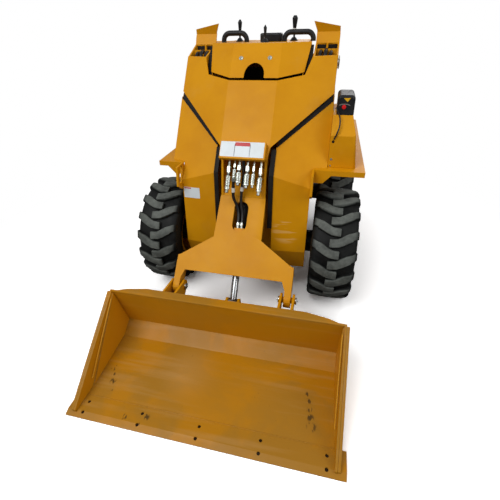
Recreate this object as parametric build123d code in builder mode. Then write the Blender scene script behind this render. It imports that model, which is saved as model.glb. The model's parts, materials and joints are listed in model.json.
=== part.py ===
"""Compact stand-on skid steer loader with a wide front boom plate and a dirt bucket.

Millimetres. The machine faces -Y, its left side is +X, and the ground is Z = 0.
Stations along the machine are given as "aft", measured back from the front axle.
"""

from build123d import *
import math
import os

os.makedirs("parts", exist_ok=True)

# Driving dimensions: overall
lip_reach = 1013.0  # front axle to the cutting edge's lip
frame_rear = 880.0
platform_gap = 40.0  # from the frame's back to the platform's front edge
platform_depth = 220.0
rear_reach = frame_rear + platform_gap + platform_depth  # front axle to the platform's rear edge
wheelbase = 670.0
front_axle_y = (lip_reach - rear_reach) / 2

# Driving dimensions: wheels
tyre_radius = 292.0  # to the tips of the lugs
tyre_width = 216.0
wheel_outer_x = 552.0  # outer shoulder of the tyres
lug_height = 24.0
lugs_per_side = 17
lug_width = 44.0  # across the bar
lug_sweep = 40.0  # how far the outer end of a bar leads its middle
rim_seat_radius = 153.0
rim_width = 178.0
spindle_radius = 22.0
running_gap = 0.05

# Driving dimensions: frame
frame_half = 238.0  # outer face of the side plates
frame_plate = 10.0
frame_cross = 30.0  # front cross plate, behind the tilt cylinder
bulkhead_aft = 158.0  # upright part of the bulkhead behind the boom
bulkhead_z = 840.0
frame_floor_z = 178.0
frame_top_z = 1060.0
motor_radius = 78.0

# Driving dimensions: boom
pivot_aft = 820.0
pivot_z = 1080.0
pivot_pin_radius = 22.0
boom_half = 371.0  # outer face of the arms and of the front plate
arm_inner = 258.0
arm_wall = 8.0
arm_top_z = 1204.0
arm_depth = 168.0
plate_thick = 10.0
fold_half = 114.0  # half-width of the flat middle of the folded plates
boom_lean = 0.742  # aft travel of the front plate for each unit of height
boom_sweep = 0.414  # aft travel of its side facets for each unit of width
boom_ref_aft = 83.0
boom_ref_z = 1075.0
vee_low_x = 117.0
vee_low_z = 822.0
vee_high_z = 1011.0
neck_half_top = 109.0
neck_half_low = 114.0
neck_ref_aft = -160.0
neck_ref_z = 600.0
neck_lean = 0.9163
neck_foot_z = 450.0
foot_half = 272.0
foot_corner_z = 371.0
foot_edge_z = 323.0
leg_outer = 276.0
leg_inner = 246.0

# Driving dimensions: bucket
hinge_aft = -442.0
hinge_z = 245.0
hinge_pin_radius = 14.0
bucket_half = 509.0  # outer face of the side plates
bucket_plate = 8.0
side_plate = 9.0
bucket_top_aft = -611.0
bucket_top_z = 312.0
bucket_heel_aft = -556.0
bucket_heel_z = 86.0
bucket_toe_aft = -624.0
bucket_toe_z = 42.0
edge_half = 541.0
edge_thick = 12.0
edge_back_aft = -919.0
edge_hole_pitch = 237.0
edge_hole_radius = 6.5
edge_rows = (-948.0, -992.0)  # aft stations of the two rows of holes

# Driving dimensions: cylinders
tilt_base_aft = -95.0
tilt_base_z = 598.0
tilt_eye_aft = -425.0
tilt_eye_z = 160.0
tilt_barrel_radius = 30.0
tilt_rod_radius = 16.0
lift_x = 287.0
lift_base_aft = 641.0
lift_base_z = 480.0
lift_eye_aft = 461.0
lift_eye_z = 1000.0
lift_barrel_radius = 33.0
lift_rod_radius = 17.5
cylinder_pin_radius = 15.0

# Driving dimensions: body panels
panel_lean = 0.744
panel_sweep = 0.2745
panel_ref_aft = -106.0  # at panel_ref_x and panel_ref_z
panel_ref_x = 300.0
panel_ref_z = 700.0
panel_thick = 5.0
panel_space = 8.0  # from the panel's front face to what stands behind it
panel_inner = 140.0
nose_half = 310.0
nose_ref_aft = -137.0  # at nose_half and nose_ref_z
nose_ref_z = 655.0
nose_lean = 0.088
nose_sweep = 0.079
nose_flange = 22.0
chin_z = 324.0
chin_lean = -0.33
nose_foot_z = 205.0
shield_rear = -64.0
notch_z = 730.0
vee_gap = 20.0
cover_half = 374.0
fender_half_left = 539.0
fender_half_right = 440.0
fender_front = -97.0
fender_thick = 6.0
hood_half = 226.0
hood_top_z = 1213.0
console_z = 1210.0
seat_gap = 0.3  # between a plate and what carries it


def aft(distance):
    """Y of a station at a distance behind the front axle."""
    return front_axle_y + distance


def side_plane(x):
    """Plane facing +X at x, whose axes are Y and Z."""
    return Plane.YZ.offset(x)


def front_plane(y):
    """Plane facing the machine's front at y, whose axes are X and Z."""
    return Plane.XZ.offset(-y)


def station(points):
    """Aft and height pairs as Y and Z pairs."""
    return [(aft(a), z) for a, z in points]


def boom_face(x, z):
    """Aft station of the boom plate's front face."""
    return boom_ref_aft + (z - boom_ref_z) * boom_lean + max(abs(x) - fold_half, 0) * boom_sweep


def neck_face(z):
    """Aft station of the neck plate's front face."""
    return neck_ref_aft + (z - neck_ref_z) * neck_lean


def panel_face(x, z):
    """Aft station of the upper nose panel's front face."""
    return panel_ref_aft + (z - panel_ref_z) * panel_lean + (abs(x) - panel_ref_x) * panel_sweep


def nose_face(x, z):
    """Aft station of the lower nose panel's front face."""
    return nose_ref_aft + (z - nose_ref_z) * nose_lean + (abs(x) - nose_half) * nose_sweep


def chin_face(x, z):
    """Aft station of the chin's front face, which slopes back under the nose."""
    return nose_face(x, chin_z) + (z - chin_z) * chin_lean


def vee_z(x):
    """Height of the boom plate's slanted lower edge at a width."""
    return vee_low_z + (abs(x) - vee_low_x) * (vee_high_z - vee_low_z) / (boom_half - vee_low_x)


def crease_z(x):
    """Height at which the upper nose panel meets the steeper lower one."""
    return (nose_face(x, 0) - panel_face(x, 0)) / (panel_lean - nose_lean)


def strip(points, thick):
    """Closed outline of a bent sheet: the points of one face and the same line moved by its thickness."""
    normals = []
    for (y0, z0), (y1, z1) in zip(points, points[1:]):
        length = math.hypot(y1 - y0, z1 - z0)
        normals.append(((z1 - z0) / length, (y0 - y1) / length))
    corners = [normals[0]] + [
        (
            (n0[0] + n1[0]) / (1 + n0[0] * n1[0] + n0[1] * n1[1]),
            (n0[1] + n1[1]) / (1 + n0[0] * n1[0] + n0[1] * n1[1]),
        )
        for n0, n1 in zip(normals, normals[1:])
    ] + [normals[-1]]
    moved = [(y + n[0] * thick, z + n[1] * thick) for (y, z), n in zip(points, corners)]
    return points + moved[::-1]


def save(piece, name):
    """Label one finished piece and write it as its own file."""
    piece.part.label = name
    export_step(piece.part, f"parts/{name}.step")


# Wheels: one tyre and one rim, copied to the four corners
carcass_radius = tyre_radius - lug_height
half_width = tyre_width / 2
shoulder_drop = 26.0  # how far below the tread the lugs run down the sidewall
lug_step = 360 / lugs_per_side
lug_flat_radius = math.sqrt(tyre_radius ** 2 - (lug_width / 2) ** 2)  # the bars' corners reach the full radius

with BuildPart() as tyre_form:
    with BuildSketch(Plane.XZ):
        with BuildLine():
            Polyline(
                (rim_seat_radius, -rim_width / 2),
                (rim_seat_radius + 60, -half_width + 2),
                (carcass_radius - 12, -half_width + 8),
                (carcass_radius, -half_width + 36),
                (carcass_radius, half_width - 36),
                (carcass_radius - 12, half_width - 8),
                (rim_seat_radius + 60, half_width - 2),
                (rim_seat_radius, rim_width / 2),
                close=True,
            )
        make_face()
    revolve(axis=Axis.Z)

with BuildPart() as lug_section:
    with BuildSketch(Plane.XZ):
        Polygon(
            (carcass_radius - shoulder_drop, 0), (carcass_radius - shoulder_drop, half_width - 1),
            (tyre_radius - 10, half_width - 6), (tyre_radius - 4.6, half_width - 22), (lug_flat_radius, 12),
            (lug_flat_radius, -lug_width),
            (carcass_radius - shoulder_drop, -lug_width),
            align=None,
        )
    extrude(amount=2 * lug_width, both=True)

with BuildPart() as lug:
    with BuildSketch(Plane.YZ.offset(carcass_radius - shoulder_drop)):
        Polygon(
            (-lug_width / 2, -22), (lug_width / 2, -22), (lug_width / 2, 12),
            (lug_width / 2 + lug_sweep, half_width + 4), (lug_width / 2 + 2, half_width + 4), (-lug_width / 2, 24),
            align=None,
        )
    extrude(amount=lug_height + shoulder_drop)
    add(lug_section.part, mode=Mode.INTERSECT)

with BuildPart() as tyre_master:
    add(tyre_form.part)
    with PolarLocations(0, lugs_per_side):
        add(lug.part)
    with PolarLocations(0, lugs_per_side, start_angle=lug_step / 2):
        add(lug.part.mirror(Plane.XY))

disc_inset = 30.0
hub_radius = 62.0
hub_length = 60.0

with BuildPart() as rim_master:
    with BuildSketch(Plane.XZ):
        with BuildLine():
            Polyline(
                (rim_seat_radius - 14, -rim_width / 2),
                (rim_seat_radius, -rim_width / 2),
                (rim_seat_radius, rim_width / 2),
                (rim_seat_radius - 14, rim_width / 2),
                (rim_seat_radius - 8, rim_width / 2 - 24),
                (rim_seat_radius - 26, disc_inset + 22),
                (rim_seat_radius - 34, disc_inset),
                (hub_radius + 8, disc_inset - 6),
                (hub_radius + 8, disc_inset - 14),
                (rim_seat_radius - 30, disc_inset - 10),
                (rim_seat_radius - 24, -rim_width / 2 + 26),
                close=True,
            )
        make_face()
    revolve(axis=Axis.Z)
    with BuildSketch(Plane.XY.offset(disc_inset - 14)):
        Circle(hub_radius + 12)
    extrude(amount=10)
    with BuildSketch(Plane.XY.offset(disc_inset - 14 - hub_length + 10)):
        Circle(hub_radius)
    extrude(amount=hub_length + 6)
    with BuildSketch(Plane.XY.offset(-half_width)):
        Circle(spindle_radius + running_gap)
    extrude(amount=half_width + disc_inset - 4, mode=Mode.SUBTRACT)

wheel_centre_x = wheel_outer_x - half_width
corners = [
    (f"{end}_{hand}", side, aft(station_aft))
    for end, station_aft in (("front", 0.0), ("rear", wheelbase))
    for hand, side in (("left", 1), ("right", -1))
]
for corner, side, y in corners:
    wheel_plane = Plane(origin=(side * wheel_centre_x, y, tyre_radius), x_dir=(0, 1, 0), z_dir=(side, 0, 0))
    handed_tyre = tyre_master.part.mirror(Plane.XZ) if side > 0 else tyre_master.part
    with BuildPart() as tyre:
        add(handed_tyre.moved(wheel_plane.location))
    save(tyre, f"tyre_{corner}")
    with BuildPart() as rim:
        add(rim_master.part.moved(wheel_plane.location))
    save(rim, f"rim_{corner}")

# Frame: a tub of steel plate whose sides rise to the boom's pivots at the rear
frame_inside = frame_half - frame_plate
frame_seat = panel_thick + seat_gap  # from the lower nose panel's front face
frame_knee_z = crease_z(frame_half)
tower_front = pivot_aft - 75
tower_rear = pivot_aft + 55
boom_space = 30.0  # room behind the boom plate's front face

with BuildPart() as frame:
    with BuildSketch(side_plane(frame_inside)):
        Polygon(*station([
            (chin_face(frame_half, nose_foot_z) + panel_space, nose_foot_z),
            (nose_face(frame_half, chin_z) + frame_seat, chin_z),
            (nose_face(frame_half, frame_knee_z) + frame_seat, frame_knee_z - 12),
            (nose_face(frame_half, frame_knee_z) + panel_space, frame_knee_z),
            (panel_face(frame_half, vee_z(frame_half)) + panel_space, vee_z(frame_half)),
            (boom_face(frame_half, vee_z(frame_half)) + boom_space, vee_z(frame_half)),
            (boom_face(frame_half, frame_top_z) + boom_space, frame_top_z),
            (tower_front - 30, frame_top_z),
            (tower_front + 10, pivot_z + 50),
            (tower_rear - 15, pivot_z + 50),
            (tower_rear, pivot_z + 30),
            (tower_rear, pivot_z - 80),
            (frame_rear, 560),
            (frame_rear, frame_floor_z),
            (chin_face(frame_half, nose_foot_z) + 40, frame_floor_z),
        ]), align=None)
    extrude(amount=frame_plate)
    mirror(about=Plane.YZ)
    with BuildSketch(side_plane(-frame_inside)):
        Polygon(*station([
            (frame_cross, frame_floor_z),
            (frame_rear, frame_floor_z),
            (frame_rear, 560),
            (frame_rear - frame_plate, 560),
            (frame_rear - frame_plate, frame_floor_z + frame_plate),
            (frame_cross + frame_plate, frame_floor_z + frame_plate),
            (frame_cross + frame_plate, 656),
            (bulkhead_aft, bulkhead_z),
            (bulkhead_aft, frame_top_z),
            (bulkhead_aft - frame_plate, frame_top_z),
            (bulkhead_aft - frame_plate, bulkhead_z + 4),
            (frame_cross, 660),
        ]), align=None)
    extrude(amount=2 * frame_inside)
save(frame, "frame")

# Wheel motors: a flanged motor on the frame at each corner with its spindle in the hub
motor_reach = wheel_centre_x + disc_inset - 14 - hub_length + 10 - 4

with BuildPart() as motors:
    for corner, side, y in corners:
        motor_plane = Plane(origin=(side * frame_half, y, tyre_radius), x_dir=(0, 1, 0), z_dir=(side, 0, 0))
        with BuildSketch(motor_plane):
            Circle(motor_radius)
        extrude(amount=24)
        with BuildSketch(motor_plane):
            Circle(motor_radius - 20)
        extrude(amount=motor_reach - frame_half)
        with BuildSketch(motor_plane):
            Circle(spindle_radius)
        extrude(amount=wheel_centre_x + disc_inset - 12 - frame_half)
save(motors, "wheel_motors")

# Engine: one plain block between the frame plates
with BuildPart() as engine:
    with BuildSketch(Plane.XY.offset(frame_floor_z + frame_plate)):
        with Locations((0, aft(470))):
            Rectangle(360, 420)
    extrude(amount=430)
save(engine, "engine")

# Nose panels: plates folded twice, at the crease and at the chin, either side of the boom's neck
plan_margin = 10.0  # how far a leaning sheet is drawn past its outline before it is cut


def leaning_sheet(face, thick, side, outline):
    """One flat facet of a folded plate: its outline, seen from the front, on its leaning face."""
    xs = [x for x, z in outline]
    low = min(z for x, z in outline) - plan_margin
    high = max(z for x, z in outline) + plan_margin
    x_in, x_out = min(xs), max(xs)
    with BuildPart() as facet:
        with BuildSketch(Plane.XY.offset(low)):
            Polygon(
                (side * x_in, aft(face(x_in, low))), (side * x_out, aft(face(x_out, low))),
                (side * x_out, aft(face(x_out, low)) + thick), (side * x_in, aft(face(x_in, low)) + thick),
                align=None,
            )
        rise = Vector(0, face(x_in, high) - face(x_in, low), high - low)
        extrude(amount=rise.length, dir=rise)
        with BuildSketch(front_plane(aft(-400))):
            Polygon(*[(side * x, z) for x, z in outline], align=None)
        extrude(amount=-1000, mode=Mode.INTERSECT)
    return facet.part


vee_drop = vee_gap / math.cos(math.atan2(vee_high_z - vee_low_z, boom_half - vee_low_x))
upper_outline = [
    (panel_inner, crease_z(panel_inner)), (nose_half, crease_z(nose_half)), (nose_half, notch_z),
    (cover_half, notch_z), (cover_half, vee_z(cover_half) - vee_drop), (panel_inner, vee_z(panel_inner) - vee_drop),
]
lower_outline = [
    (panel_inner, crease_z(panel_inner)), (nose_half, crease_z(nose_half)), (nose_half, chin_z),
    (panel_inner, chin_z),
]
chin_outline = [(panel_inner, chin_z), (nose_half, chin_z), (nose_half, nose_foot_z), (panel_inner, nose_foot_z)]
flange_front = [
    (chin_face(nose_half, nose_foot_z), nose_foot_z), (nose_face(nose_half, chin_z), chin_z),
    (nose_face(nose_half, crease_z(nose_half)), crease_z(nose_half)), (panel_face(nose_half, notch_z), notch_z),
]

for hand, side in (("left", 1), ("right", -1)):
    upper = leaning_sheet(panel_face, panel_thick * math.hypot(1, panel_lean), side, upper_outline)
    lower = leaning_sheet(nose_face, panel_thick, side, lower_outline)
    chin = leaning_sheet(chin_face, panel_thick, side, chin_outline)
    with BuildPart() as nose:
        add(upper)
        add(lower)
        add(chin)
        with BuildSketch(side_plane(side * (nose_half - (panel_thick if side > 0 else 0)))):
            Polygon(*station(flange_front + [(a + nose_flange, z) for a, z in reversed(flange_front)]), align=None)
        extrude(amount=panel_thick)
    save(nose, f"nose_panel_{hand}")

# Shields: black plates inside the nose panels' outer flanges, between them and the front wheels
shield_thick = 5.0
shield_top_z = notch_z - 8

with BuildPart() as shields:
    for side in (1, -1):
        with BuildSketch(side_plane(side * (nose_half - panel_thick - (shield_thick if side > 0 else 0)))):
            Polygon(*station([
                (chin_face(nose_half, nose_foot_z + 10) + panel_space, nose_foot_z + 10),
                (nose_face(nose_half, chin_z) + panel_space, chin_z),
                (nose_face(nose_half, nose_ref_z) + panel_space, nose_ref_z),
                (panel_face(nose_half, shield_top_z) + panel_space, shield_top_z),
                (shield_rear, shield_top_z),
                (shield_rear, nose_foot_z + 10),
            ]), align=None)
        extrude(amount=shield_thick)
save(shields, "frame_shields")

# Side covers: sheet walls under the arms, over the lift cylinders
cover_top_z = 1000.0
cover_rear = 700.0
cover_sheet = 5.0

for hand, side in (("left", 1), ("right", -1)):
    outer_wall = side * (cover_half - (cover_sheet if side > 0 else 0))
    cover_front = panel_face(cover_half, cover_top_z) + panel_space
    with BuildPart() as cover:
        with BuildSketch(side_plane(outer_wall)):
            Polygon(*station([
                (panel_face(cover_half, notch_z) + panel_space, notch_z),
                (cover_front - 8, cover_top_z - 12),
                (cover_front + 6, cover_top_z),
                (cover_rear, cover_top_z),
                (cover_rear, notch_z),
            ]), align=None)
        extrude(amount=cover_sheet)
        ledge_front = panel_face(cover_half, notch_z) + 40
        with BuildSketch(Plane.XY.offset(notch_z)):
            with Locations((side * (frame_half + cover_half) / 2, aft((ledge_front + cover_rear) / 2))):
                Rectangle(cover_half - frame_half, cover_rear - ledge_front)
            with Locations((side * lift_x, aft(lift_base_aft) - 30)):
                Rectangle(2 * lift_barrel_radius + 16, 200, mode=Mode.SUBTRACT)
        extrude(amount=cover_sheet)
        with BuildSketch(front_plane(aft(cover_rear - cover_sheet))):
            Polygon(*[(side * x, z) for x, z in [
                (frame_half, notch_z), (cover_half, notch_z), (cover_half, cover_top_z), (frame_half, cover_top_z),
            ]], align=None)
        extrude(amount=-cover_sheet)
    save(cover, f"side_cover_{hand}")

# Fenders: flat plates over the wheels with a lip, a gusset and a slotted lashing plate
fender_rear = wheelbase + 250.0
fender_lip = 24.0
fender_inner = 332.0  # clear of the lift cylinders
lashing_thick = 10.0
lashing_slot_aft = -143.0
lashing_slot_z = 684.0

for hand, side, fender_half in (("left", 1, fender_half_left), ("right", -1, fender_half_right)):
    with BuildPart() as fender:
        with BuildSketch(Plane.XY.offset(notch_z - fender_thick)):
            Polygon(*[(side * x, aft(a)) for x, a in [
                (nose_half, fender_front), (fender_half, fender_front), (fender_half, fender_rear - 40),
                (fender_half - 40, fender_rear), (fender_inner, fender_rear), (fender_inner, fender_front + 100),
                (nose_half, fender_front + 100),
            ]], align=None)
        extrude(amount=fender_thick)
        with BuildSketch(front_plane(aft(fender_front))):
            Polygon(*[(side * x, z) for x, z in [
                (nose_half, notch_z), (fender_half, notch_z), (fender_half, notch_z - fender_lip),
                (nose_half + 85, notch_z - fender_lip), (nose_half + 50, notch_z - 62), (nose_half, notch_z - 62),
            ]], align=None)
        extrude(amount=-fender_thick)
        with BuildSketch(side_plane(side * (fender_half - (fender_thick if side > 0 else 0)))):
            Polygon(*station([
                (fender_front, notch_z), (fender_rear - 40, notch_z), (fender_rear - 40, notch_z - fender_lip),
                (fender_front, notch_z - fender_lip),
            ]), align=None)
        extrude(amount=fender_thick)
        with BuildSketch(side_plane(side * (nose_half + (0 if side > 0 else lashing_thick)))):
            Polygon(*station([
                (fender_front, notch_z), (fender_front - 78, notch_z), (fender_front - 92, notch_z - 90),
                (fender_front - 53, notch_z - 118), (fender_front, notch_z - 118),
            ]), align=None)
            with Locations((aft(lashing_slot_aft), lashing_slot_z)):
                SlotOverall(84, 28, rotation=66, mode=Mode.SUBTRACT)
        extrude(amount=lashing_thick)
    save(fender, f"fender_{hand}")

# Tank on the left fender, with a black top that carries a handle
tank_inner_x = cover_half + seat_gap
tank_outer_x = 498.0  # at its foot
tank_outer_high_x = 460.0  # at its top
tank_shoulder_x = 480.0
tank_front = -51.0
tank_rear = 260.0
tank_shoulder_z = 872.0
tank_top_z = 946.0
tank_slope = 62.0  # how far back the slanted front facet reaches
cap_inner_x = 388.0
cap_outer_x = 461.0
cap_top_z = 1026.0
cap_length = 150.0
cap_front = tank_front + tank_slope
grip_length = 66.0
grip_height = 26.0

with BuildPart() as tank:
    with BuildSketch(side_plane(tank_inner_x)):
        Polygon(*station([
            (tank_front, notch_z), (tank_front, tank_shoulder_z), (tank_front + tank_slope, tank_top_z),
            (tank_rear, tank_top_z), (tank_rear, notch_z),
        ]), align=None)
    extrude(amount=tank_outer_x - tank_inner_x)
    with BuildSketch(front_plane(aft(-400))):
        Polygon(
            (tank_inner_x, notch_z), (tank_outer_x, notch_z), (tank_shoulder_x, tank_shoulder_z),
            (tank_outer_high_x, tank_top_z), (tank_inner_x, tank_top_z),
            align=None,
        )
    extrude(amount=-1000, mode=Mode.INTERSECT)
    outer_front = [e for e in tank.edges() if e.center().X > tank_shoulder_x and e.center().Y < aft(tank_front) + 2]
    fillet([e for e in outer_front if e.length > 100 and abs(e.tangent_at(0.5).Z) > 0.9], radius=12)
save(tank, "tank")

with BuildPart() as tank_top:
    with BuildSketch(front_plane(aft(cap_front))):
        with BuildLine():
            FilletPolyline(
                (cap_inner_x, tank_top_z), (cap_inner_x - 1, cap_top_z), (cap_outer_x - 1, cap_top_z),
                (cap_outer_x, tank_top_z),
                radius=16,
            )
            Line((cap_outer_x, tank_top_z), (cap_inner_x, tank_top_z))
        make_face()
    extrude(amount=-cap_length)
    with BuildSketch(side_plane(cap_inner_x - 10)):
        with Locations((aft(cap_front + 78), cap_top_z - 32)):
            RectangleRounded(grip_length, grip_height, 8)
    extrude(amount=cap_outer_x - cap_inner_x + 20, mode=Mode.SUBTRACT)
    chamfer(tank_top.faces().sort_by(Axis.Y)[0].edges().sort_by(Axis.Z)[-1], length=8)
save(tank_top, "tank_top")

# Hood: a folded front plate over a hollow cover with the console on top
hood_lean = 0.87
hood_sweep = 0.53
hood_ref_aft = 98.5
hood_low_z = 1079.0
hood_low_out_z = 1095.0
hood_sheet = 5.0
hood_arch = 47.0
hood_arch_z = 1136.0
hood_top_half = 245.0
console_rear = 640.0
hood_rear = 745.0
hood_wall = 4.0
hood_side = hood_half - 4


def hood_face(x, z):
    """Aft station of the hood plate's front face."""
    return hood_ref_aft + (z - hood_low_z) * hood_lean + max(abs(x) - fold_half, 0) * hood_sweep


with BuildPart() as hood_plate:
    low = hood_low_z - 10
    high = hood_top_z + 10
    with BuildSketch(Plane.XY.offset(low)):
        front = [(x, aft(hood_face(x, low))) for x in (-hood_top_half, -fold_half, fold_half, hood_top_half)]
        Polygon(*front, *[(x, y + hood_sheet * 1.4) for x, y in reversed(front)], align=None)
    rise = Vector(0, (high - low) * hood_lean, high - low)
    extrude(amount=rise.length, dir=rise)
    with BuildSketch(front_plane(aft(-400))):
        Polygon(
            (-hood_half, hood_low_out_z), (-fold_half, hood_low_z), (fold_half, hood_low_z),
            (hood_half, hood_low_out_z), (hood_top_half, hood_top_z), (-hood_top_half, hood_top_z),
            align=None,
        )
        with Locations((0, hood_arch_z - hood_arch)):
            Circle(hood_arch, mode=Mode.SUBTRACT)
        with Locations((0, hood_low_z)):
            Rectangle(2 * hood_arch, 2 * (hood_arch_z - hood_arch - hood_low_z), mode=Mode.SUBTRACT)
    extrude(amount=-1000, mode=Mode.INTERSECT)
save(hood_plate, "hood_plate")

hood_foot_aft = hood_ref_aft + hood_sheet * 1.4
with BuildPart() as hood:
    with BuildSketch(side_plane(-hood_side)):
        Polygon(*strip(station([
            (hood_foot_aft, console_z), (console_rear, console_z), (hood_rear, console_z - 60),
            (hood_rear, frame_top_z),
        ]), hood_wall), align=None)
    extrude(amount=2 * hood_side)
    for x in (hood_side - hood_wall, -hood_side):
        with BuildSketch(side_plane(x)):
            Polygon(*station([
                (hood_foot_aft, frame_top_z), (hood_foot_aft, console_z), (console_rear, console_z),
                (hood_rear, console_z - 60), (hood_rear, frame_top_z),
            ]), align=None)
        extrude(amount=hood_wall)
    with BuildSketch(Plane.XY.offset(hood_low_z - 30)):
        behind = [
            (x, aft(hood_face(x, hood_low_z - 30)) + hood_sheet * 1.4)
            for x in (-hood_side, -fold_half, fold_half, hood_side)
        ]
        Polygon(*behind, (hood_side, aft(hood_rear + 10)), (-hood_side, aft(hood_rear + 10)), align=None)
    extrude(amount=Vector(0, 170 * hood_lean, 170).length, dir=(0, hood_lean, 1), mode=Mode.INTERSECT)
save(hood, "hood")

# Rear grille: a louvred panel across the back of the engine bay
grille_sheet = 6.0
grille_low_z = 590.0
louvre_count = 9
louvre_pitch = 38.0

with BuildPart() as grille:
    with BuildSketch(front_plane(aft(hood_rear - grille_sheet))):
        with Locations((0, (grille_low_z + frame_top_z) / 2)):
            Rectangle(2 * frame_inside, frame_top_z - grille_low_z)
        with Locations((0, (grille_low_z + frame_top_z) / 2)):
            with GridLocations(0, louvre_pitch, 1, louvre_count):
                SlotOverall(320, 14, mode=Mode.SUBTRACT)
    extrude(amount=-grille_sheet)
save(grille, "rear_grille")

# Console fittings: two hand loops, a rest pad and three levers
loop_aft = 411.0
loop_height = 40.0
loop_bar = 12.5
loop_radius = 32.0
# Loop table: x of its middle, half of its width between the bars' middles
loops = [(170.0, 72.0), (-160.0, 61.0)]

with BuildPart() as grips:
    for x, half in loops:
        with BuildLine() as loop_path:
            FilletPolyline(
                (x - half, aft(loop_aft), console_z), (x - half, aft(loop_aft), console_z + loop_height),
                (x + half, aft(loop_aft), console_z + loop_height), (x + half, aft(loop_aft), console_z),
                radius=loop_radius,
            )
        with BuildSketch(Plane.XY.offset(console_z).move(Location((x - half, aft(loop_aft), 0)))):
            Circle(loop_bar)
        sweep(path=loop_path.line)
save(grips, "hand_loops")

pad_x = 28.0
pad_width = 112.0
pad_height = 38.0

with BuildPart() as pad:
    with BuildSketch(Plane.XY.offset(console_z)):
        with Locations((pad_x, aft(loop_aft + 24))):
            RectangleRounded(pad_width, 70, 16)
    extrude(amount=pad_height)
    fillet(pad.faces().sort_by(Axis.Z)[-1].edges(), radius=9)
save(pad, "hand_rest")

# Lever table: x, aft, height, lean in degrees, radius of the knob
levers = [(-150.0, 470.0, 99.0, 2.0, 11.0), (8.0, 350.0, 74.0, 1.0, 8.0), (139.0, 470.0, 110.0, 1.0, 14.0)]

with BuildPart() as lever_set:
    for x, a, height, lean, knob in levers:
        foot = Plane(origin=(x, aft(a), console_z), x_dir=(1, 0, 0), z_dir=(math.sin(math.radians(lean)), 0, 1))
        with BuildSketch(Plane.XY.offset(console_z)):
            with Locations((x, aft(a))):
                Circle(22)
        with BuildSketch(Plane.XY.offset(console_z + 16)):
            with Locations((x, aft(a))):
                Circle(9)
        loft()
        with BuildSketch(foot.offset(3)):
            Circle(5)
        extrude(amount=height - 50)
        with BuildSketch(foot.offset(height - 55)):
            Circle(knob * 0.6)
        with BuildSketch(foot.offset(height - 12)):
            Circle(knob)
        loft()
        with BuildSketch(foot.offset(height - 12)):
            Circle(knob)
        extrude(amount=12, taper=30)
save(lever_set, "levers")

# Boom plate: the folded front plate, cut by the hood's notch and the two slanted edges
notch_out_z = 1091.0
notch_in_z = 1075.0
notch_half = 231.0
plate_top_z = 1158.0
plate_low_z = 779.0
plate_depth = plate_thick * 1.25

with BuildPart() as boom_plate:
    low = vee_low_z - 60
    high = plate_top_z + 20
    with BuildSketch(Plane.XY.offset(low)):
        front = [(x, aft(boom_face(x, low))) for x in (-boom_half, -fold_half, fold_half, boom_half)]
        Polygon(*front, *[(x, y + plate_depth) for x, y in reversed(front)], align=None)
    rise = Vector(0, (high - low) * boom_lean, high - low)
    extrude(amount=rise.length, dir=rise)
    with BuildSketch(front_plane(aft(-400))):
        right_half = [
            (fold_half, notch_in_z - 4), (notch_half, notch_out_z - 4), (arm_inner, plate_top_z),
            (boom_half - 2, plate_top_z), (boom_half, vee_high_z), (vee_low_x, vee_low_z),
            (vee_low_x - 8, plate_low_z),
        ]
        Polygon(*right_half, *[(-x, z) for x, z in reversed(right_half)], align=None)
    extrude(amount=-1200, mode=Mode.INTERSECT)
save(boom_plate, "boom_plate")

# Boom neck: a leaning plate with the hose slot, the wide foot, side flanges and the two legs
neck_angle = math.atan(1 / neck_lean)
neck_sheet = 12.0
neck_depth = neck_sheet / math.sin(neck_angle)
neck_plane = Plane(
    origin=(0, aft(neck_ref_aft), neck_ref_z),
    x_dir=(1, 0, 0),
    z_dir=(0, -math.sin(neck_angle), math.cos(neck_angle)),
)
neck_top_z = 806.0
slot_width = 68.0
slot_low_z = 474.0
slot_high_z = 583.0
flange_thick = 10.0
flange_depth = 84.0
recess_depth = 60.0
recess_sheet = 8.0
recess_mid_aft = -110.0  # first bend of the recess's floor, behind the neck plate's top edge
recess_mid_z = 640.0
recess_low_z = 652.0
hose_block_thick = 14.0
hose_block_half = 24.0
hose_block_z = 489.0  # top of the block that holds the hoses' lower ends
web_seat = 5.0  # how far the webs start below the neck plate's top edge
tilt_lug_x = tilt_barrel_radius + 5


def along(z):
    """Distance along the neck plate of a height on its front face."""
    return (z - neck_ref_z) / math.sin(neck_angle)


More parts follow.
